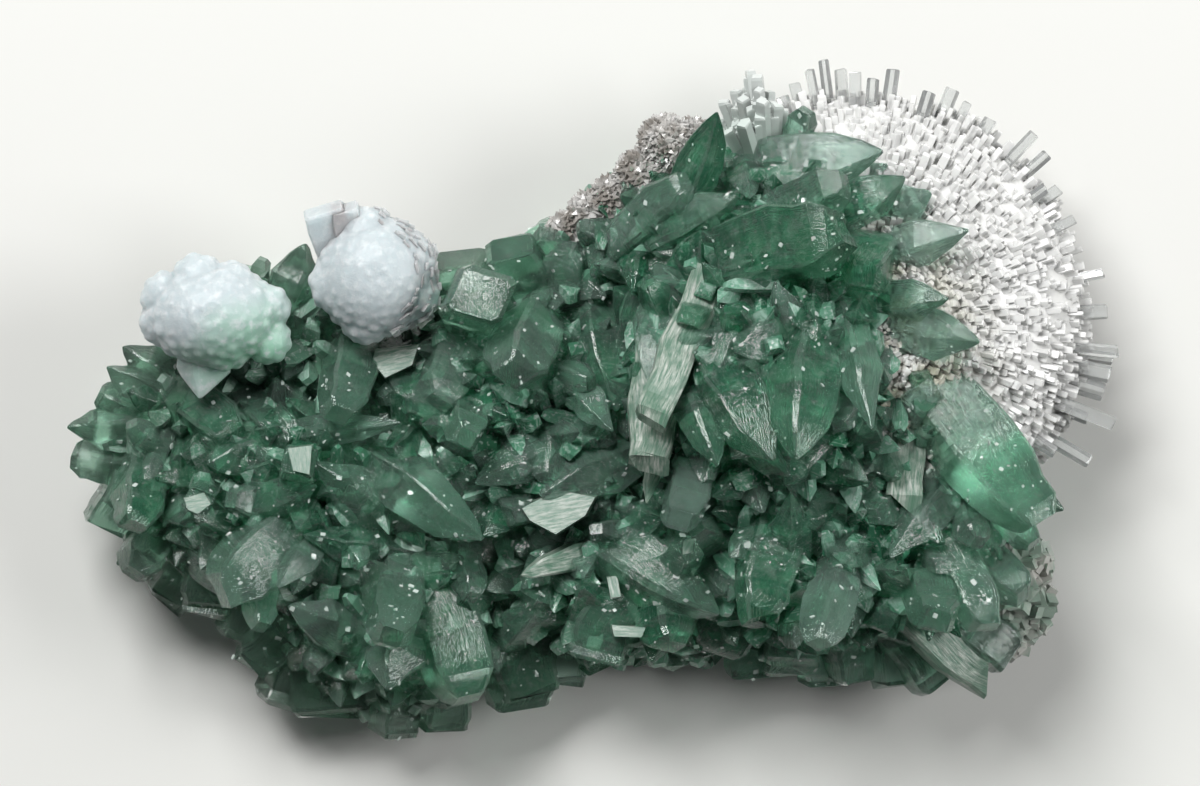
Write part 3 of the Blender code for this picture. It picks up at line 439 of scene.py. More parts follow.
def extras(count, gap, length, width, sunk, lean, margin, lowest, names):
    """Seeded crystals that stand out of the mound between the named ones, as arrays.

    They grow out of the mound, stray by the lean, and those on its walls turn upwards.
    One is left out where its tip, or the circle of its breadth near the tip, passes the outline,
    or where its root isn't under the mound."""
    points, out = strewn(DOMES, count, MOUND_FULLNESS)
    high = points[:, 2] > width[1] * LEAST_HIGH
    points, out = points[high], out[high]
    apart = spaced(points, gap)
    points, out = points[apart], out[apart]
    n = len(points)
    out = out + lean * draw.normal(size=out.shape)
    out[:, 2] = np.maximum(out[:, 2], 0.0) + UPWARD * (1.0 - np.clip(out[:, 2], 0.0, 1.0))
    out = unit(out)
    long = draw.uniform(*length, (n, 1))
    wide = draw.uniform(*width, n)
    size = np.column_stack([wide, wide * draw.uniform(*FLATNESS, n)])
    root = points - out * long * sunk
    tip = root + out * long
    turn = np.arange(8) * np.pi / 4
    brink = root[:, None, :2] + TEST_AT * (tip - root)[:, None, :2]
    brink = brink + TEST_WIDTH * wide[:, None, None] * np.stack([np.cos(turn), np.sin(turn)], -1)
    inside = over_mound(brink[..., 0], brink[..., 1], margin).all(1)
    inside &= over_mound(tip[:, 0], tip[:, 1], margin)
    inside &= mound_height(root[:, 0], root[:, 1]) > root[:, 2] + LEAST_COVER
    inside &= root[:, 2] > lowest
    profile = np.array([HABITS[name] for name in names])[draw.integers(0, len(names), n)]
    roll = draw.uniform(0, 90, n)
    return tuple(array[inside] for array in (root, tip, size, roll, profile))


# The named crystals, then seeded large ones, then thinner ones between all of these
large = dict(gap=5.2, length=(13.0, 19.0), width=(5.8, 8.6), sunk=0.74, lean=0.6, margin=0.8, lowest=1.0)
large = extras(4000, **large, names=("point", "blade", "blade", "point"))
between = dict(gap=4.2, length=(9.0, 14.0), width=(3.8, 5.8), sunk=0.68, lean=0.7, margin=1.0, lowest=1.0)
between = extras(6000, **between, names=("point", "blade", "blade", "stout"))
groups = (bodies_of(RIGHT_CRYSTALS + LEFT_CRYSTALS), large, between)
crystals = [np.concatenate(arrays) for arrays in zip(*groups)]
# How much of an edge its narrow face cuts off, as a share of the crystal's side
EDGE_CUT = (0.04, 0.12)
bevel = draw.uniform(*EDGE_CUT, len(crystals[0]))
tone = draw.uniform(0.0, 1.0, len(crystals[0]))
clear_crystals = grown_together("clear_crystals", crystal_rings(*crystals, bevel), tone)


def colour(code):
    """Linear colour from sRGB hex: c / 12.92 up to 0.04045, then ((c + 0.055) / 1.055)^2.4."""
    c = np.array([int(code[k : k + 2], 16) for k in (1, 3, 5)]) / 255
    return (*np.where(c <= 0.04045, c / 12.92, ((c + 0.055) / 1.055) ** 2.4), 1.0)


def node(tree, kind, sockets=None, **settings):
    """Adds a shader node with its settings, and gives each named socket a value or a link.

    A link comes from another node's socket, or from a node's first output."""
    made = tree.nodes.new("ShaderNode" + kind)
    for name, value in settings.items():
        setattr(made, name, value)
    for name, value in (sockets or {}).items():
        if isinstance(value, bpy.types.Node):
            value = value.outputs[0]
        if isinstance(value, bpy.types.NodeSocket):
            tree.links.new(value, made.inputs[name])
        else:
            made.inputs[name].default_value = value
    return made


def new_material(name):
    """An empty material and its tree."""
    material = bpy.data.materials.new(name)
    material.use_nodes = True
    material.node_tree.nodes.clear()
    return material, material.node_tree


def finished(tree, sockets):
    """Ends a material with its one shader, and gives the output node."""
    return node(tree, "OutputMaterial", {"Surface": node(tree, "BsdfPrincipled", sockets)})


def grains_of(size):
    """A pattern's scale in grains to the metre, from the size of a grain in mm: 1000 / size."""
    return 1000.0 / size


def patchy(tree, at, scale, detail, low, high, least=0.0, most=1.0, **more):
    """A noise, and the share from least to most by which it has come from low to high."""
    noise = node(tree, "TexNoise", {"Vector": at, "Scale": scale, "Detail": detail, **more})
    span = {"From Min": low, "From Max": high, "To Min": least, "To Max": most}
    return noise, node(tree, "MapRange", {"Value": noise, **span})


# Sizes in mm of what shows in a crystal and on it: clouds, dark patches that are partly inclusions and
# partly painted shade of the hollows seen through, cells of the cleavage, specks, swells of a face, and the
# striations along it
CLOUD, HOLLOW, CELL, SPECK, SWELL, STRIA = 2.6, 7.5, 3.3, 0.65, 2.1, 0.3


def apophyllite(name, deep, pale, transmission, absorbing):
    """Green apophyllite, each crystal with its own tone between deep and pale.

    It is clouded and streaked inside, darkened in patches partly by dark inclusions and partly by painted
    shade of the hollows seen through it, cracked along its cleavage in patches and paler at its edges with a
    painted highlight, and the light that goes through it deepens its green. Low on the left it turns grey."""
    material, tree = new_material(name)
    here = node(tree, "TexCoord").outputs["Object"]
    growth = node(tree, "UVMap", uv_map="growth")
    own = node(tree, "SeparateXYZ", {"Vector": growth})
    drifting = {"Roughness": 0.68, "Distortion": 1.2}
    clouds, veils = patchy(tree, here, grains_of(CLOUD), 5.0, 0.52, 0.64, most=0.85, **drifting)
    # Dark patches: partly dark inclusions, partly painted shade of the hollows seen through the crystal
    hollow, inclusions_and_shade = patchy(tree, here, grains_of(HOLLOW), 3.0, 0.54, 0.68, most=0.4, Roughness=0.6)
    facets = node(tree, "UVMap", uv_map="facets")
    stretched = node(tree, "Mapping", {"Vector": facets, "Scale": (1.0, 0.09, 1.0)})
    striae, streaks = patchy(tree, stretched, 1.0 / STRIA, 3.0, 0.54, 0.68, most=0.6, Roughness=0.65)
    bent = node(tree, "MixRGB", {"Fac": 0.012, "Color1": here, "Color2": clouds.outputs["Color"]})
    cells = {"Vector": bent, "Scale": grains_of(CELL)}
    cells = node(tree, "TexVoronoi", cells, feature="DISTANCE_TO_EDGE")
    cracks = node(tree, "MapRange", {"Value": cells, "From Min": 0.05, "From Max": 0.0})
    patches = node(tree, "MapRange", {"Value": hollow, "From Min": 0.46, "From Max": 0.36})
    crackle = node(tree, "Math", {0: cracks, 1: patches}, operation="MULTIPLY")
    _, specks = patchy(tree, here, grains_of(SPECK), 1.0, 0.6, 0.7, most=0.8, Roughness=0.7)
    # Painted highlight: the narrow faces along the crystal's edges are painted paler, as if they caught the
    # light
    painted_edge_highlight = node(tree, "Math", {0: own.outputs["Y"], 1: 0.85}, operation="MULTIPLY")
    spot = node(tree, "SeparateXYZ", {"Vector": here})
    low = node(tree, "MapRange", {"Value": spot.outputs["Z"], "From Min": 0.021, "From Max": 0.008})
    left = {"From Min": 0.03, "From Max": -0.03, "To Min": 0.15, "To Max": 0.75}
    left = node(tree, "MapRange", {"Value": spot.outputs["X"], **left})
    rim = node(tree, "Math", {0: low, 1: left}, operation="MULTIPLY")
    body = {"Fac": own.outputs["X"], "Color1": colour(deep), "Color2": colour(pale)}
    body = node(tree, "MixRGB", body)
    layers = (
        # painted shade of the hollows seen through, with dark inclusions
        (inclusions_and_shade, "#2B7A55"),
        (veils, "#C6EAD9"),
        (streaks, "#D2EFE1"),
        (crackle, "#F6FCF9"),
        (specks, "#E9F6F0"),
        # painted highlight on the narrow edge faces
        (painted_edge_highlight, "#CDEFDF"),
        (rim, "#A3B9AA"),
    )
    for mask, code in layers:
        body = node(tree, "MixRGB", {"Fac": mask, "Color1": body, "Color2": colour(code)})
    swells = node(tree, "TexNoise", {"Vector": here, "Scale": grains_of(SWELL), "Detail": 2.0})
    relief = node(tree, "Bump", {"Height": striae, "Strength": 0.8, "Distance": 0.00018})
    uneven = {"Height": swells, "Normal": relief, "Strength": 0.35, "Distance": 0.0002}
    uneven = node(tree, "Bump", uneven)
    look = {"Roughness": 0.03, "IOR": 1.535, "Transmission Weight": transmission}
    end = finished(tree, {"Base Color": body, "Normal": uneven, **look})
    if absorbing:
        depth = {"Color": (0.32, 0.84, 0.6, 1.0), "Density": 60.0}
        tree.links.new(node(tree, "VolumeAbsorption", depth).outputs["Volume"], end.inputs["Volume"])
    return material


# The clear green of the crystals, see-through, with a wet glassy shine on the grown faces
green = apophyllite("green_apophyllite", "#66C79D", "#DCF8ED", 0.9, True)
clear_crystals.data.materials.append(green)
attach(clear_crystals, "root")
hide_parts("apophyllite_cluster")

# Cleaved blades. Apophyllite splits across its length into pearly sheets, and these blades were split
# lengthwise too, with fine ridges along them; their silver shine is a painted sheen in their colour.
CLEAVED = (
    ("broken", (14.2, 15.6, 31), (6.8, -3.0, 39.4), 4.8, 3.6, 0),
    ("broken", (7.8, 7.0, 31), (6.8, -8.4, 37.4), 6.0, 4.2, 0),
    ("blade", (8.4, -4.0, 31), (6.4, -13.0, 34), 2.8, 2.2, 20),
    ("broken", (39.2, 7.0, 29), (38.4, -13.4, 33), 5.0, 3.6, 0),
    ("broken", (35.6, -24.0, 15), (48.6, -35.4, 13), 5.6, 5.0, 8),
    ("blade", (1.6, -18.2, 22.6), (-9.4, -22.2, 27.6), 3.8, 3.2, 10),
)
rings = crystal_rings(*bodies_of(CLEAVED), EDGE_CUT[1], crooked=0.05, slant=0.5)
maps = {"facets": facet_map(rings), "growth": growth_map(rings, np.ones(len(rings)))}
cleaved_blades = skinned("cleaved_blades", rings, **maps)

# Faces that one split left bare: outline in x and y, and how much painted silver sheen it carries
PEARLY_FACES = (
    (((-9.1, -13.7), (-4.75, -11.4), (0.0, -12.3), (-1.25, -14.6), (-4.9, -16.9), (-8.1, -15.2)), 0.65),
    (((-27.5, 6.1), (-22.1, 6.7), (-22.9, 4.2), (-26.25, 2.6), (-27.9, 4.6)), 0.75),
    (((11.0, -17.8), (12.4, -17.4), (12.1, -19.1), (10.9, -19.4)), 0.8),
    (((1.5, -22.4), (2.75, -22.1), (3.25, -24.7), (2.0, -24.9)), 0.7),
    (((-51.1, -12.4), (-48.6, -11.7), (-47.75, -13.1), (-49.4, -14.3), (-50.6, -13.8)), 0.4),
    (((-38.1, -6.2), (-35.1, -5.8), (-35.4, -9.4), (-37.4, -8.9)), 0.35),
    (((2.1, -28.3), (6.3, -28.6), (5.8, -29.8), (2.4, -29.7)), 0.6),
)
# In mm: how far a bare face stands out of the crystal under it, and how thick its stub is at least.
# As shares: how it slopes along x and y, how much wider its foot is, and where its height is read
FACE_PROUD, STUB_THICK = 0.3, 2.0
FACE_SLOPE, FOOT_FLARE, READ_AT = (-0.16, 0.3), 1.1, 0.8


def crystals_under(outline):
    """Heights in mm of the clear crystals, or else of the mound, under the points of an outline."""
    graph = bpy.context.evaluated_depsgraph_get()
    heights = []
    for x, y in outline:
        above = (x * 0.001, y * 0.001, 0.1)
        hit, spot, _, _ = clear_crystals.ray_cast(above, (0, 0, -1), depsgraph=graph)
        heights.append(spot[2] * 1000.0 if hit else mound_height(*np.array([[x], [y]]))[0])
    return np.array(heights)


points, corners, counts, painted_sheen_shares, grain, first = [], [], [], [], [], 0
for outline, painted_sheen in PEARLY_FACES:
    outline = np.array(outline)[::-1]
    middle = outline.mean(0)
    heights = crystals_under([middle, *(middle + (outline - middle) * READ_AT)])
    top = heights.max() + FACE_PROUD
    low = min(top - STUB_THICK, np.median(heights) - 0.5)
    foot = np.column_stack([middle + (outline - middle) * FOOT_FLARE, np.full(len(outline), low)])
    face = np.column_stack([outline, top - (outline - middle) @ FACE_SLOPE])
    stub = np.stack([foot, face])
    more, sizes = skin_of(stub[None])
    flat = stub.reshape(-1, 3)[:, :2]
    along, across = np.linalg.svd(flat - flat.mean(0))[2]
    points.append(stub.reshape(-1, 3))
    corners.append(more + first)
    counts.append(sizes)
    painted_sheen_shares.append(np.full((len(more), 2), painted_sheen))
    grain.append(np.column_stack([flat @ across, flat @ along])[more])
    first += len(flat)
points, corners, counts, painted_sheen_shares, grain = (np.concatenate(a) for a in (points, corners, counts, painted_sheen_shares, grain))
pearly = placed("pearly_faces", mesh_of("pearly_faces", points, corners, counts, facets=grain, growth=painted_sheen_shares))

# Cleavage with a painted silver sheen: fine ridges along the split painted bright silver, with green between
# them and in patches
painted_silver, tree = new_material("cleaved_apophyllite")
here = node(tree, "TexCoord").outputs["Object"]
facets = node(tree, "UVMap", uv_map="facets")
stretched = node(tree, "Mapping", {"Vector": facets, "Scale": (1.0, 0.12, 1.0)})
ridges, share = patchy(tree, stretched, 1.0 / STRIA, 4.0, 0.4, 0.62, Roughness=0.7)
_, patches = patchy(tree, here, grains_of(2.4), 4.0, 0.38, 0.55, least=0.25)
growth = node(tree, "UVMap", uv_map="growth")
painted_sheen = node(tree, "SeparateXYZ", {"Vector": growth})
split = node(tree, "Math", {0: patches, 1: painted_sheen.outputs["X"]}, operation="MULTIPLY")
bright = node(tree, "Math", {0: share, 1: split}, operation="MULTIPLY")
# Painted sheen: the pale silver colour stands for the light that the split faces reflect
body = node(tree, "MixRGB", {"Fac": bright, "Color1": colour("#5F8A73"), "Color2": colour("#DCE1D8")})
relief = node(tree, "Bump", {"Height": ridges, "Strength": 0.5, "Distance": 0.0002})
look = {"Roughness": 0.3, "IOR": 1.535, "Transmission Weight": 0.3}
finished(tree, {"Base Color": body, "Normal": relief, **look})
for part in (cleaved_blades, pearly):
    part.data.materials.append(painted_silver)
    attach(part, "root")

# Glint flakes. Hundreds of thin white flakes lie on the faces that look up: painted glints that give the
# specimen its white sparkle.
GLINT_COUNT = 1500
GLINT_SIZE = (0.25, 0.95)
GLINT_THICK = 0.12
GLINT_STRAY = 0.3
# Most flakes are small: their size goes by an even chance to this power
GLINT_POWER = 2.2

skin = clear_crystals.data
centre, facing, area = (np.zeros(len(skin.polygons) * k, np.float32) for k in (3, 3, 1))
skin.polygons.foreach_get("center", centre)
skin.polygons.foreach_get("normal", facing)
skin.polygons.foreach_get("area", area)
centre, facing, area = centre.reshape(-1, 3) * 1e3, facing.reshape(-1, 3), area * 1e6
share = area * (facing[:, 2] > 0.15)
pick = draw.choice(len(area), GLINT_COUNT, p=share / share.sum())
out = unit(facing[pick] + GLINT_STRAY * draw.normal(size=(GLINT_COUNT, 3)))
slip = draw.uniform(-0.45, 0.45, (GLINT_COUNT, 3)) * np.sqrt(area[pick])[:, None]
slip -= (slip * facing[pick]).sum(1)[:, None] * facing[pick]
lying = centre[pick] + slip
wide = draw.uniform(0.0, 1.0, GLINT_COUNT) ** GLINT_POWER * (GLINT_SIZE[1] - GLINT_SIZE[0]) + GLINT_SIZE[0]
size = np.column_stack([wide, wide * draw.uniform(0.4, 1.0, GLINT_COUNT)])
turn = draw.uniform(0, 90, GLINT_COUNT)
slab = ((0.0, 0.9), (1.0, 1.0))
root, tip = lying - out * GLINT_THICK / 2, lying + out * GLINT_THICK
glint_flakes = skinned("painted_glint_flakes", crystal_rings(root, tip, size, turn, slab, crooked=0.1, slant=0.3))

# Painted glints: white flakes, with a wet shine
glint_white, tree = new_material("painted_glint_white")
look = {"Roughness": 0.12, "IOR": 1.535, "Transmission Weight": 0.35}
finished(tree, {"Base Color": colour("#E3EFE8"), **look})
glint_flakes.data.materials.append(glint_white)
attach(glint_flakes, "root")

# The mound. It is the same apophyllite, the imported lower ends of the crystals, milky green and full
# of cracks. They grew on rock, and the specimen was cut off it, so the mound is flat at the back.
def domed(name, domes, fullness, segments=32, levels=24):
    """Superellipsoids as closed skins on grids of turn and rise, which overlap."""
    turn = np.linspace(0, 2 * np.pi, segments, endpoint=False)
    rise = np.linspace(-np.pi / 2, np.pi / 2, levels + 1)[1:-1, None]
    u = np.stack([np.cos(rise) * np.cos(turn), np.cos(rise) * np.sin(turn), np.sin(rise) + 0 * turn], -1)
    u = on_dome(u, fullness)
    return skinned(name, domes[:, None, None, :3] + u * domes[:, None, None, 3:])


# The mound's own skin lies a little inside the heights that the roots were set by
MOUND_INSET = (1, 1, 1, 0.96, 0.96, 0.9)

# Its broken facets: how far apart, how tilted, and how deep at most, and the remesh's grid in m
FACET_GAP = 3.2
FACET_TILT = 0.35
FACET_DEPTH = 1.1
MOUND_GRID = 0.0007

mound = domed("green_mound", DOMES * MOUND_INSET, MOUND_FULLNESS)
remesh = mound.modifiers.new("grown into one", "REMESH")
remesh.mode, remesh.voxel_size = "VOXEL", MOUND_GRID
solid = remade(mound)
mound.modifiers.clear()
mound.data = solid
at, outward = np.zeros((2, len(solid.vertices) * 3), np.float32)
solid.vertices.foreach_get("co", at)
solid.vertices.foreach_get("normal", outward)
at, outward = at.reshape(-1, 3) * 1000.0, outward.reshape(-1, 3)
seeds = draw.permutation(len(at))[:6000]
seeds = seeds[spaced(at[seeds], FACET_GAP)]
# Each point of the skin goes with the nearest facet, some thousands of points at a time
nearest = np.zeros(len(at), int)
for first in range(0, len(at), 4000):
    some = slice(first, first + 4000)
    nearest[some] = np.linalg.norm(at[some, None] - at[seeds], axis=-1).argmin(1)
plane = unit(outward[seeds] + FACET_TILT * draw.normal(size=(len(seeds), 3)))
off = ((at - at[seeds][nearest]) * plane[nearest]).sum(1)
facing = np.maximum((outward * plane[nearest]).sum(1), 0.5)
above = np.clip(at[:, 2] / FACET_DEPTH, 0.0, 1.0)
at = at - outward * (np.clip(off / facing, -FACET_DEPTH, FACET_DEPTH) * above)[:, None]
at[:, 2] = np.maximum(at[:, 2], 0.0)
solid.vertices.foreach_set("co", (at * 0.001).ravel())
solid.update()
solid.shade_flat()

# Milky, cracked apophyllite: the same green, closed to light, and darker as painted shade of the hollows
# between the crystals
base = apophyllite("mound_apophyllite", "#4F9A77", "#96CBB1", 0.0, False)
mound.data.materials.append(base)
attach(mound, "root")

# The small crystals. A second growth of apophyllite covers the mound between the large crystals and
# its walls down to the cut, as plain square points of a few millimetres that grew on the mound.
small = dict(gap=2.5, length=(4.4, 7.6), width=(1.8, 3.4), sunk=0.62, lean=0.8, margin=1.4, lowest=-3.0)
small = extras(16000, **small, names=("point", "blade", "stout"))
rings = crystal_rings(*small)[:, ::2]
rings[..., 2] = np.maximum(rings[..., 2], 0.05)
facets = facet_map(rings)
growth = growth_map(rings, draw.uniform(0.0, 1.0, len(rings)))
small_crystals = skinned("small_crystals", rings, facets=facets, growth=growth)

# Half-clear apophyllite, deeper in colour, as little light reaches down between the large crystals
small_green = apophyllite("small_apophyllite", "#3F9069", "#9AD4B9", 0.45, False)
small_crystals.data.materials.append(small_green)
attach(small_crystals, "root")

# The needle ball. Scolecite grows as thin square columns with blunt ends, all from one centre that
# the green crystals hide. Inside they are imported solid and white, and only the free ends are clear.
SPRAY_CENTRE = np.array((33.0, 9.5, 12.2))
# The ball's radii outwards, upwards and downwards, which give the needles their reach
SPRAY_RADII = (28.8, 12.8, 11.4)

# Needles that stand out: bearing and rise in degrees, reach and width
LONG_NEEDLES = np.array(
    [
        (-31.0, 4, 34.4, 2.2), (-33.5, 10, 31.8, 2.0), (-22.6, 0, 31.4, 2.0), (-21.6, 8, 36.2, 2.3),
        (-15.8, 3, 32.4, 3.0), (-11.6, 4, 32.8, 2.8), (-6.4, 6, 33.8, 2.0), (-8.0, 2, 32.6, 2.2),
        (2.6, 4, 31.8, 2.4), (11.4, 3, 31.8, 1.7), (25.6, 8, 31.6, 1.7), (33.6, 5, 31.0, 2.0),
        (35.8, 9, 30.8, 1.9), (41.6, 3, 32.2, 1.9), (47.0, 6, 33.4, 1.8), (56.8, 4, 31.0, 2.2),
        (63.4, 3, 31.2, 1.5), (67.8, 3, 32.0, 2.4), (72.8, 8, 31.8, 2.2), (82.0, 4, 32.6, 2.2),
        (86.4, 6, 31.6, 2.0), (90.6, 6, 32.4, 2.0), (93.8, 3, 32.2, 2.0), (97.4, 3, 33.6, 1.7),
        (100.8, 5, 33.0, 1.6), (104.8, 3, 31.4, 1.9), (108.4, 6, 30.8, 2.0),
    ]
)
COLUMN = ((0.0, 0.94), (0.5, 1.0), (0.97, 0.97), (1.0, 0.84))

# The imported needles: how many directions, how they stray, reach, width, and where they start.
# The reach is a mean, long swells, and a ragged end that goes by an even chance to a power
PACKED_COUNT = 9000
PACKED_STRAY = 0.02
PACKED_REACH, PACKED_SWELL, PACKED_RAGGED, PACKED_POWER = 28.5, 0.4, 1.6, 2.2
PACKED_WIDTH = (0.6, 1.15)
PACKED_START = 24.0
# The white core inside them, and where the single needles start, which are thinner than their
# widths in the table, as their glassy sides draw the eye
CORE_RADII = (28.1, 28.1, 12.1)
SINGLE_START, SINGLE_THIN = 26.0, 0.8
# A needle is left out where its tip is under this much of the mound, or where it is lower than this
NEEDLE_COVER, NEEDLE_LOWEST = 1.0, 0.6


def columns(towards, reach, width, start):
    """Rings of needles that leave the centre, pressed flat as the ball is.

    A tip is the centre + reach u / |(u_x, u_y, u_z / f)|, with f the ball's height over its radius."""
    flat = np.where(towards[:, 2] > 0, SPRAY_RADII[1], SPRAY_RADII[2]) / SPRAY_RADII[0]
    squash = 1.0 / np.hypot(np.hypot(towards[:, 0], towards[:, 1]), towards[:, 2] / flat)
    tip = SPRAY_CENTRE + towards * (reach * squash)[:, None]
    root = SPRAY_CENTRE + towards * (start * squash)[:, None]
    free = mound_height(tip[:, 0], tip[:, 1]) < tip[:, 2] + NEEDLE_COVER
    free &= np.minimum(tip, root)[:, 2] > NEEDLE_LOWEST
    size = np.column_stack([width, width * draw.uniform(0.7, 1.0, len(width))])
    turn = draw.uniform(0, 90, len(width))
    root, tip, size, turn = (array[free] for array in (root, tip, size, turn))
    return crystal_rings(root, tip, size, turn, COLUMN, crooked=0.01, slant=0.12)


def directions(bearing, rise):
    """u = (cos rise cos bearing, cos rise sin bearing, sin rise)."""
    level = np.cos(rise)
    return np.column_stack([level * np.cos(bearing), level * np.sin(bearing), np.sin(rise)])


# Evenly spread directions: each is turned by the golden angle from the one below it
bearing = np.arange(PACKED_COUNT) * np.pi * (3.0 - np.sqrt(5.0))
packed = directions(bearing, np.arcsin(np.linspace(-0.92, 0.99, PACKED_COUNT)))
packed = unit(packed + PACKED_STRAY * draw.normal(size=packed.shape))
swell = 0.5 * np.sin(packed @ (9.0, 4.0, 7.0)) + 0.5 * np.sin(packed @ (-5.0, 11.0, 3.0) + 1.0)
ragged = PACKED_RAGGED * draw.uniform(0.0, 1.0, PACKED_COUNT) ** PACKED_POWER
reach = PACKED_REACH + PACKED_SWELL * swell + ragged
width = draw.uniform(*PACKED_WIDTH, PACKED_COUNT)
spray = skinned("packed_needles", columns(packed, reach, width, PACKED_START))
core = domed("needle_core", np.array([(*SPRAY_CENTRE, *CORE_RADII)]), 2.0, 96, 48)
turned = directions(*np.radians(LONG_NEEDLES[:, :2].T))
rings = columns(turned, LONG_NEEDLES[:, 2], LONG_NEEDLES[:, 3] * SINGLE_THIN, SINGLE_START)
single = skinned("single_needles", rings)

# White packed scolecite: light soaks into it a little, and near the green crystals it is darker and creamy,
# partly a yellowish tint and partly painted shade, round this place in metres
SHADE_CREAM_AT = (0.028, 0.004, 0.024)
white, tree = new_material("white_scolecite")
here = node(tree, "TexCoord").outputs["Object"]
_, blotched = patchy(tree, here, grains_of(3.3), 3.0, 0.35, 0.6)
from_green = node(tree, "VectorMath", {0: here, 1: SHADE_CREAM_AT}, operation="DISTANCE")
# Painted shade and a yellowish tint, strongest next to the green crystals
cream_and_shade = {"Value": from_green.outputs["Value"], "From Min": 0.0245, "From Max": 0.014}
cream_and_shade = node(tree, "MapRange", cream_and_shade)
share = node(tree, "Math", {0: cream_and_shade, 1: blotched}, operation="MULTIPLY")
body = node(tree, "MixRGB", {"Fac": share, "Color1": colour("#EFEFEC"), "Color2": colour("#C9C6B2")})
soaked = {"Subsurface Weight": 0.35, "Subsurface Radius": (0.0016, 0.0016, 0.0015), "Subsurface Scale": 1.0}
finished(tree, {"Base Color": body, "Roughness": 0.25, "IOR": 1.51, **soaked})

# Clear scolecite, see-through and glassy, for the needles that stand free
clear, tree = new_material("clear_scolecite")
look = {"Roughness": 0.08, "IOR": 1.51, "Transmission Weight": 0.8}
finished(tree, {"Base Color": colour("#F1F3F2"), **look})
for part, material in ((spray, white), (core, white), (single, clear)):
    part.data.materials.append(material)
    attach(part, "root")
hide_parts("scolecite_spray")

# The needle sheaf. It is scolecite too, in broader columns that fan out of one root behind the
# green crystals, half clear, and tinged green at the root by what lies under them.
SHEAF_ROOT = np.array((21.6, 25.0, 15.0))
SHEAF_TIPS = np.array(
    [
        (15.2, 35.0, 18.0, 2.6), (16.0, 37.2, 20.5, 2.8), (17.6, 38.6, 19.0, 3.0),
        (18.4, 37.4, 24.0, 3.0), (19.4, 41.0, 20.0, 2.4), (20.2, 40.2, 23.0, 2.8),
        (20.8, 37.0, 26.0, 3.0), (21.8, 38.4, 20.0, 2.6), (22.8, 36.6, 23.5, 2.8),
        (23.6, 36.2, 19.5, 2.4), (16.6, 33.4, 23.5, 3.0), (18.4, 34.2, 26.5, 3.2),
    ]
)
# Seeded columns between the named ones, how far they reach towards the tips, and their widths.
# The named ones are drawn at a share of their width, and all start at a share of their length
SHEAF_COUNT = 110
SHEAF_REACH = (0.78, 0.98)
SHEAF_WIDTH = (0.9, 1.7)
SHEAF_THIN = 0.6
SHEAF_START = 0.22

pair = draw.integers(0, len(SHEAF_TIPS), (SHEAF_COUNT, 2))
blend = draw.uniform(0.0, 1.0, (SHEAF_COUNT, 1))
tips = SHEAF_TIPS[pair[:, 0]] * blend + SHEAF_TIPS[pair[:, 1]] * (1 - blend)
tips[:, :3] = SHEAF_ROOT + (tips[:, :3] - SHEAF_ROOT) * draw.uniform(*SHEAF_REACH, (SHEAF_COUNT, 1))
tips[:, 3] = draw.uniform(*SHEAF_WIDTH, SHEAF_COUNT)
tips = np.concatenate([SHEAF_TIPS * (1, 1, 1, SHEAF_THIN), tips])
root = SHEAF_ROOT + (tips[:, :3] - SHEAF_ROOT) * SHEAF_START
size = tips[:, 3:] * (1.0, 0.85)
turn = 20.0 * np.arange(len(tips))
rings = crystal_rings(root, tips[:, :3], size, turn, COLUMN, crooked=0.01, slant=0.15)
sheaf = skinned("sheaf_columns", rings)

# Tinged scolecite: clear grey at the tips and green-tinged at the root
tinged, tree = new_material("tinged_scolecite")
here = node(tree, "TexCoord").outputs["Object"]
spot = node(tree, "SeparateXYZ", {"Vector": here})
up = node(tree, "MapRange", {"Value": spot.outputs["Y"], "From Min": 0.029, "From Max": 0.037})
mottle = node(tree, "TexNoise", {"Vector": here, "Scale": grains_of(2.0), "Detail": 3.0})
share = node(tree, "MixRGB", {"Fac": 0.3, "Color1": up, "Color2": mottle})
body = node(tree, "MixRGB", {"Fac": share, "Color1": colour("#C0D8CB"), "Color2": colour("#E4E7E5")})
finished(tree, {"Base Color": body, "Roughness": 0.2, "IOR": 1.51, "Transmission Weight": 0.15})
sheaf.data.materials.append(tinged)
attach(sheaf, "root")
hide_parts("scolecite_sheaf")

# The two stilbite balls. Sheaves of stilbite grow round until only smooth lobes show; the left ball
# is translucent and green below, the right one has a flat block and ragged plates at its edge.

# Each lobe: centre x, y, z and radii x, y, z
LEFT_LOBES = np.array(
    [
        (-47.6, 10.4, 21.0, 8.4, 6.3, 6.8), (-53.4, 12.6, 21.0, 3.2, 3.2, 3.2),
        (-49.6, 15.0, 21.6, 3.2, 3.0, 3.4), (-45.4, 14.2, 21.8, 3.0, 2.8, 3.2),
        (-41.4, 11.4, 21.4, 3.2, 3.0, 3.2), (-41.0, 7.4, 20.8, 3.0, 3.0, 3.0),
        (-53.6, 9.6, 20.8, 3.2, 3.0, 3.2), (-46.6, 6.2, 21.0, 4.0, 2.6, 3.6),
    ]
)
RIGHT_LOBES = np.array(
    [
        (-27.4, 15.2, 20.5, 7.4, 7.6, 6.6), (-28.6, 20.6, 21.0, 3.6, 3.4, 3.6),
        (-23.6, 17.4, 21.2, 3.6, 3.6, 3.6), (-22.8, 13.2, 21.0, 3.2, 3.6, 3.4),
        (-28.6, 9.8, 20.6, 3.2, 3.0, 3.2), (-32.2, 14.4, 21.0, 3.4, 3.8, 3.4),
    ]
)
# How far apart the knobs on the lobes are, and how large
LEFT_KNOBS = (1.5, (0.8, 1.5))
RIGHT_KNOBS = (1.4, (0.7, 1.3))
BALL_GRID = 0.00025


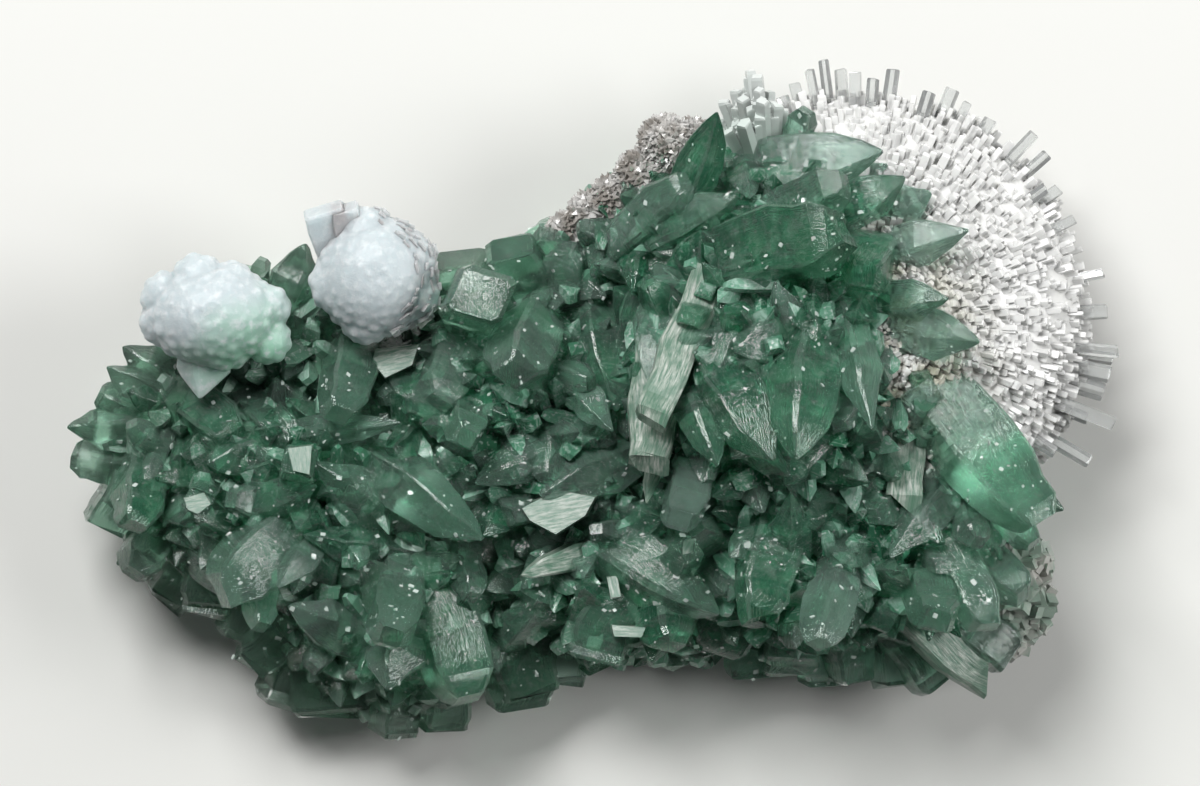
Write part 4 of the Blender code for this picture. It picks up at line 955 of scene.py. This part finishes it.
def lobed(name, lobes, gap, knob):
    """A closed skin over lobes that carry smaller knobs, run together by a voxel remesh."""
    points, out = strewn(lobes, 4000, 2.0, whole=True)
    apart = spaced(points, gap)
    level = 1.0 - np.abs(out[apart, 2:])
    radius = draw.uniform(*knob, (len(apart), 1)) * np.clip(2.0 * level, 0.5, 1.0)
    knobs = np.column_stack([points[apart] - out[apart] * radius * 0.72, radius, radius, radius])
    raw = domed(name + "_raw", np.concatenate([lobes, knobs]), 2.0, 20, 12)
    skin = raw.modifiers.new("run together", "REMESH")
    skin.mode, skin.voxel_size, skin.use_smooth_shade = "VOXEL", BALL_GRID, True
    soft = raw.modifiers.new("worn soft", "SMOOTH")
    soft.iterations, soft.factor = 4, 0.5
    mesh = remade(raw)
    bpy.data.objects.remove(raw)
    mesh.name = name
    mesh.shade_smooth()
    return placed(name, mesh)


left = lobed("left_ball", LEFT_LOBES, *LEFT_KNOBS)
right = lobed("right_ball", RIGHT_LOBES, *RIGHT_KNOBS)

# The flat point under the left ball, the block at the top of the right one, and how much of their
# edges is cut off
TAIL = [("point", (-48.6, 8.0, 19.0), (-49.4, 0.0, 20.0), 7.4, 5.2, 30)]
TAIL_BEVEL = 0.1
BLOCK = [
    ("tablet", (-32.0, 17.0, 19.0), (-33.9, 23.7, 22.0), 5.2, 4.0, 0),
    ("tablet", (-30.4, 17.6, 20.0), (-31.2, 23.9, 22.4), 3.4, 3.6, 0),
]
BLOCK_BEVEL = 0.05

# The ragged plates at the right ball's edge: how far apart, how deep in it, how far out, how broad
# and how thick
PLATE_GAP = 1.1
PLATE_DEEP = 2.0
PLATE_OUT = (0.1, 0.6)
PLATE_BROAD = (1.0, 2.0)
PLATE_THICK = (0.3, 0.6)

# They stand on the ball's right side alone, and neither on its top nor under it
points, out = strewn(RIGHT_LOBES, 6000, 2.0, whole=True)
ragged = (out[:, 0] > 0.35) & (np.abs(out[:, 2]) < 0.75) & (points[:, 1] > 8.0)
points, out = points[ragged], out[ragged]
apart = spaced(points, PLATE_GAP)
points, out = points[apart], out[apart]
n = len(points)
size = np.column_stack([draw.uniform(*PLATE_BROAD, n), draw.uniform(*PLATE_THICK, n)])
tip = points + out * draw.uniform(*PLATE_OUT, (n, 1))
turn = draw.uniform(60, 90, n)
rings = crystal_rings(points - out * PLATE_DEEP, tip, size, turn, HABITS["tablet"])
plates = skinned("right_ball_plates", rings)
rings = crystal_rings(*arrays_of(TAIL), TAIL_BEVEL, crooked=0.01, slant=0.1)
left_tail = skinned("left_ball_tail", rings)
rings = crystal_rings(*arrays_of(BLOCK), BLOCK_BEVEL, crooked=0.01, slant=0.1)
right_block = skinned("right_ball_block", rings)

# Stilbite: porcelain white that light soaks into, and pale green where the left ball is clearest,
# round this place in metres
GREENEST_AT = (-0.043, 0.0045, 0.022)
pearl, tree = new_material("stilbite")
here = node(tree, "TexCoord").outputs["Object"]
greener = node(tree, "VectorMath", {0: here, 1: GREENEST_AT}, operation="DISTANCE")
cloud = node(tree, "TexNoise", {"Vector": here, "Scale": grains_of(3.8), "Detail": 3.0})
worn = node(tree, "Math", {0: cloud, 1: 0.006}, operation="MULTIPLY")
reach = node(tree, "Math", {0: greener.outputs["Value"], 1: worn}, operation="ADD")
share = node(tree, "MapRange", {"Value": reach, "From Min": 0.0135, "From Max": 0.006})
body = node(tree, "MixRGB", {"Fac": share, "Color1": colour("#C2CBCE"), "Color2": colour("#9CCBB3")})
grain, pale_spots = patchy(tree, here, grains_of(1.1), 5.0, 0.5, 0.66, most=0.7, Roughness=0.6)
mottled = node(tree, "MixRGB", {"Fac": pale_spots, "Color1": body, "Color2": colour("#D6DCDD")})
relief = node(tree, "Bump", {"Height": grain, "Strength": 0.6, "Distance": 0.0003})
soaked = {"Subsurface Weight": 0.9, "Subsurface Radius": (0.003, 0.0036, 0.0036), "Subsurface Scale": 1.0}
finished(tree, {"Base Color": mottled, "Normal": relief, "Roughness": 0.42, "IOR": 1.5, **soaked})
for part in (left, left_tail, right, right_block, plates):
    part.data.materials.append(pearl)
    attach(part, "root")
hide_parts("stilbite_ball_left")
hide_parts("stilbite_ball_right")

# The grey druse. Tiny points of a quartz-like mineral grew as a crust over rounded knobs, side by
# side and every way, brown-grey with white glints.

# Knobs: centre x, y, z and radius
DRUSE_KNOBS = np.array(
    [
        (8.8, 32.2, 18.0, 3.2), (12.2, 32.4, 16.0, 2.6), (6.0, 27.8, 17.0, 3.4),
        (9.4, 28.0, 14.0, 4.2), (2.4, 25.2, 15.5, 2.8), (-0.6, 23.4, 15.0, 2.6),
        (-3.6, 20.9, 13.5, 2.4), (3.6, 22.6, 11.0, 4.6), (-0.8, 20.2, 9.5, 4.0),
    ]
)
# A point's breadth along it
GRAIN = ((0.0, 0.9), (0.55, 1.0), (1.0, 0.12))

# How far the crystals of a crust stray from straight out, what share of them is sunk, how high they
# grow at least, and how far inside them the lump's own skin lies
CRUST_STRAY = 0.45
CRUST_SUNK = 0.55
CRUST_LOWEST = 1.2
LUMP_INSET = (1, 1, 1, 0.95, 0.95, 0.95)


def crusted(name, lumps, gap, length, width, flatness, profile):
    """Small crystals that stand out all over round lumps, with the lumps inside."""
    domes = lumps[:, [0, 1, 2, 3, 3, 3]]
    points, out = strewn(domes, 12000, 2.0, whole=True)
    over = points[:, 2] > CRUST_LOWEST
    points, out = points[over], out[over]
    apart = spaced(points, gap)
    points, out = points[apart], out[apart]
    n = len(points)
    out = unit(out + CRUST_STRAY * draw.normal(size=out.shape))
    long, wide = draw.uniform(*length, (n, 1)), draw.uniform(*width, n)
    size = np.column_stack([wide, wide * draw.uniform(*flatness, n)])
    root = points - out * long * CRUST_SUNK
    turn = draw.uniform(0, 90, n)
    grains = skinned(name, crystal_rings(root, root + out * long, size, turn, profile))
    return grains, domed(name + "_lumps", domes * LUMP_INSET, 2.0, 24, 16)


def spotted(name, spot, low, high, dark, light, look):
    """A material that goes from dark to light over spots of that size in mm."""
    material, tree = new_material(name)
    here = node(tree, "TexCoord").outputs["Object"]
    _, share = patchy(tree, here, grains_of(spot), 4.0, low, high)
    body = node(tree, "MixRGB", {"Fac": share, "Color1": colour(dark), "Color2": colour(light)})
    finished(tree, {"Base Color": body, **look})
    return material


points_of = dict(gap=0.42, length=(1.0, 1.7), width=(0.5, 0.9), flatness=(0.7, 1.0), profile=GRAIN)
druse = crusted("druse_points", DRUSE_KNOBS, **points_of)

# Druse: brown-grey and half clear, with small bright faces
look = {"Roughness": 0.12, "IOR": 1.54, "Transmission Weight": 0.25}
grey = spotted("grey_druse", 2.6, 0.4, 0.62, "#ABA59E", "#E9E7E4", look)

# The pale crust. Blocky stilbite grew over the edge at the lower right and broke there, so it is
# dull and chipped, with a few bright faces.

# Lumps: centre x, y, z and radius
CRUST_LUMPS = np.array(
    [
        (53.6, -21.2, 11.0, 3.2), (53.9, -26.3, 10.0, 3.4), (51.6, -23.6, 12.5, 3.6),
        (51.6, -29.0, 7.0, 3.4), (50.2, -20.4, 9.0, 3.8),
    ]
)
# A chip's breadth along it
CHIP = ((0.0, 0.9), (0.7, 1.0), (1.0, 0.85))

chips_of = dict(gap=1.1, length=(1.8, 3.2), width=(1.4, 2.6), flatness=(0.4, 0.8), profile=CHIP)
crust = crusted("crust_chips", CRUST_LUMPS, **chips_of)

# Broken stilbite: pale grey-green, a little see-through
look = {"Roughness": 0.2, "IOR": 1.5, "Transmission Weight": 0.3}
pale = spotted("pale_crust", 4.2, 0.42, 0.6, "#A9BCAE", "#DAD9D2", look)
made_of = ((druse, grey, "grey_druse", "druse"), (crust, pale, "pale_crust", "crust"))
for parts, material, cad, slot in made_of:
    for part in parts:
        part.data.materials.append(material)
        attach(part, "root")
    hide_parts(cad)

# Floor, light and camera. The specimen lies on its cut on pale paper, with a soft key lamp at the
# upper left and a weaker fill at the right, and the camera looks straight down with a long lens.
FLOOR = np.array([(-900, -900, 0), (900, -900, 0), (900, 900, 0), (-900, 900, 0)], float)
floor = placed("floor", mesh_of("floor", FLOOR, np.arange(4), np.array([4])))

# Pale paper: matt, and a little warm
paper, tree = new_material("pale_paper")
finished(tree, {"Base Color": colour("#E4E4E0"), "Roughness": 0.6})
floor.data.materials.append(paper)

# Where the lamps aim, in metres, as all places of lamps and camera are
AIM = Vector((0, 0, 0.02))


def soft_box(name, place, wide, high, watts):
    """A rectangle of light at a place, turned to the aim."""
    lamp = bpy.data.lights.new(name, "AREA")
    lamp.shape, lamp.size, lamp.size_y, lamp.energy = "RECTANGLE", wide, high, watts
    thing = placed(name, lamp)
    thing.location = place
    thing.rotation_euler = (AIM - Vector(place)).to_track_quat("-Z", "Y").to_euler()


soft_box("key", (-0.25, 0.50, 0.65), wide=0.45, high=0.35, watts=7.8)
soft_box("fill", (0.65, 0.10, 0.50), wide=0.35, high=0.35, watts=3.8)
world = bpy.data.worlds.new("studio")
bpy.context.scene.world = world
world.use_nodes = True
air = world.node_tree.nodes["Background"]
air.inputs["Color"].default_value = colour("#C8CCCC")
air.inputs["Strength"].default_value = 0.12
shown = bpy.context.scene
shown.view_settings.view_transform = "Standard"
shown.cycles.use_light_tree = False
shown.cycles.max_bounces = 6
shown.cycles.transmission_bounces = 6
shown.cycles.diffuse_bounces = 1
shown.cycles.glossy_bounces = 3

# A long lens, over the middle of the photo's frame
lens = bpy.data.cameras.new("camera")
lens.lens, lens.sensor_width = 250.0, 36.0
camera = placed("camera", lens)
camera.location = (0.000625, 0.0006875, 1.0617)
bpy.context.scene.camera = camera
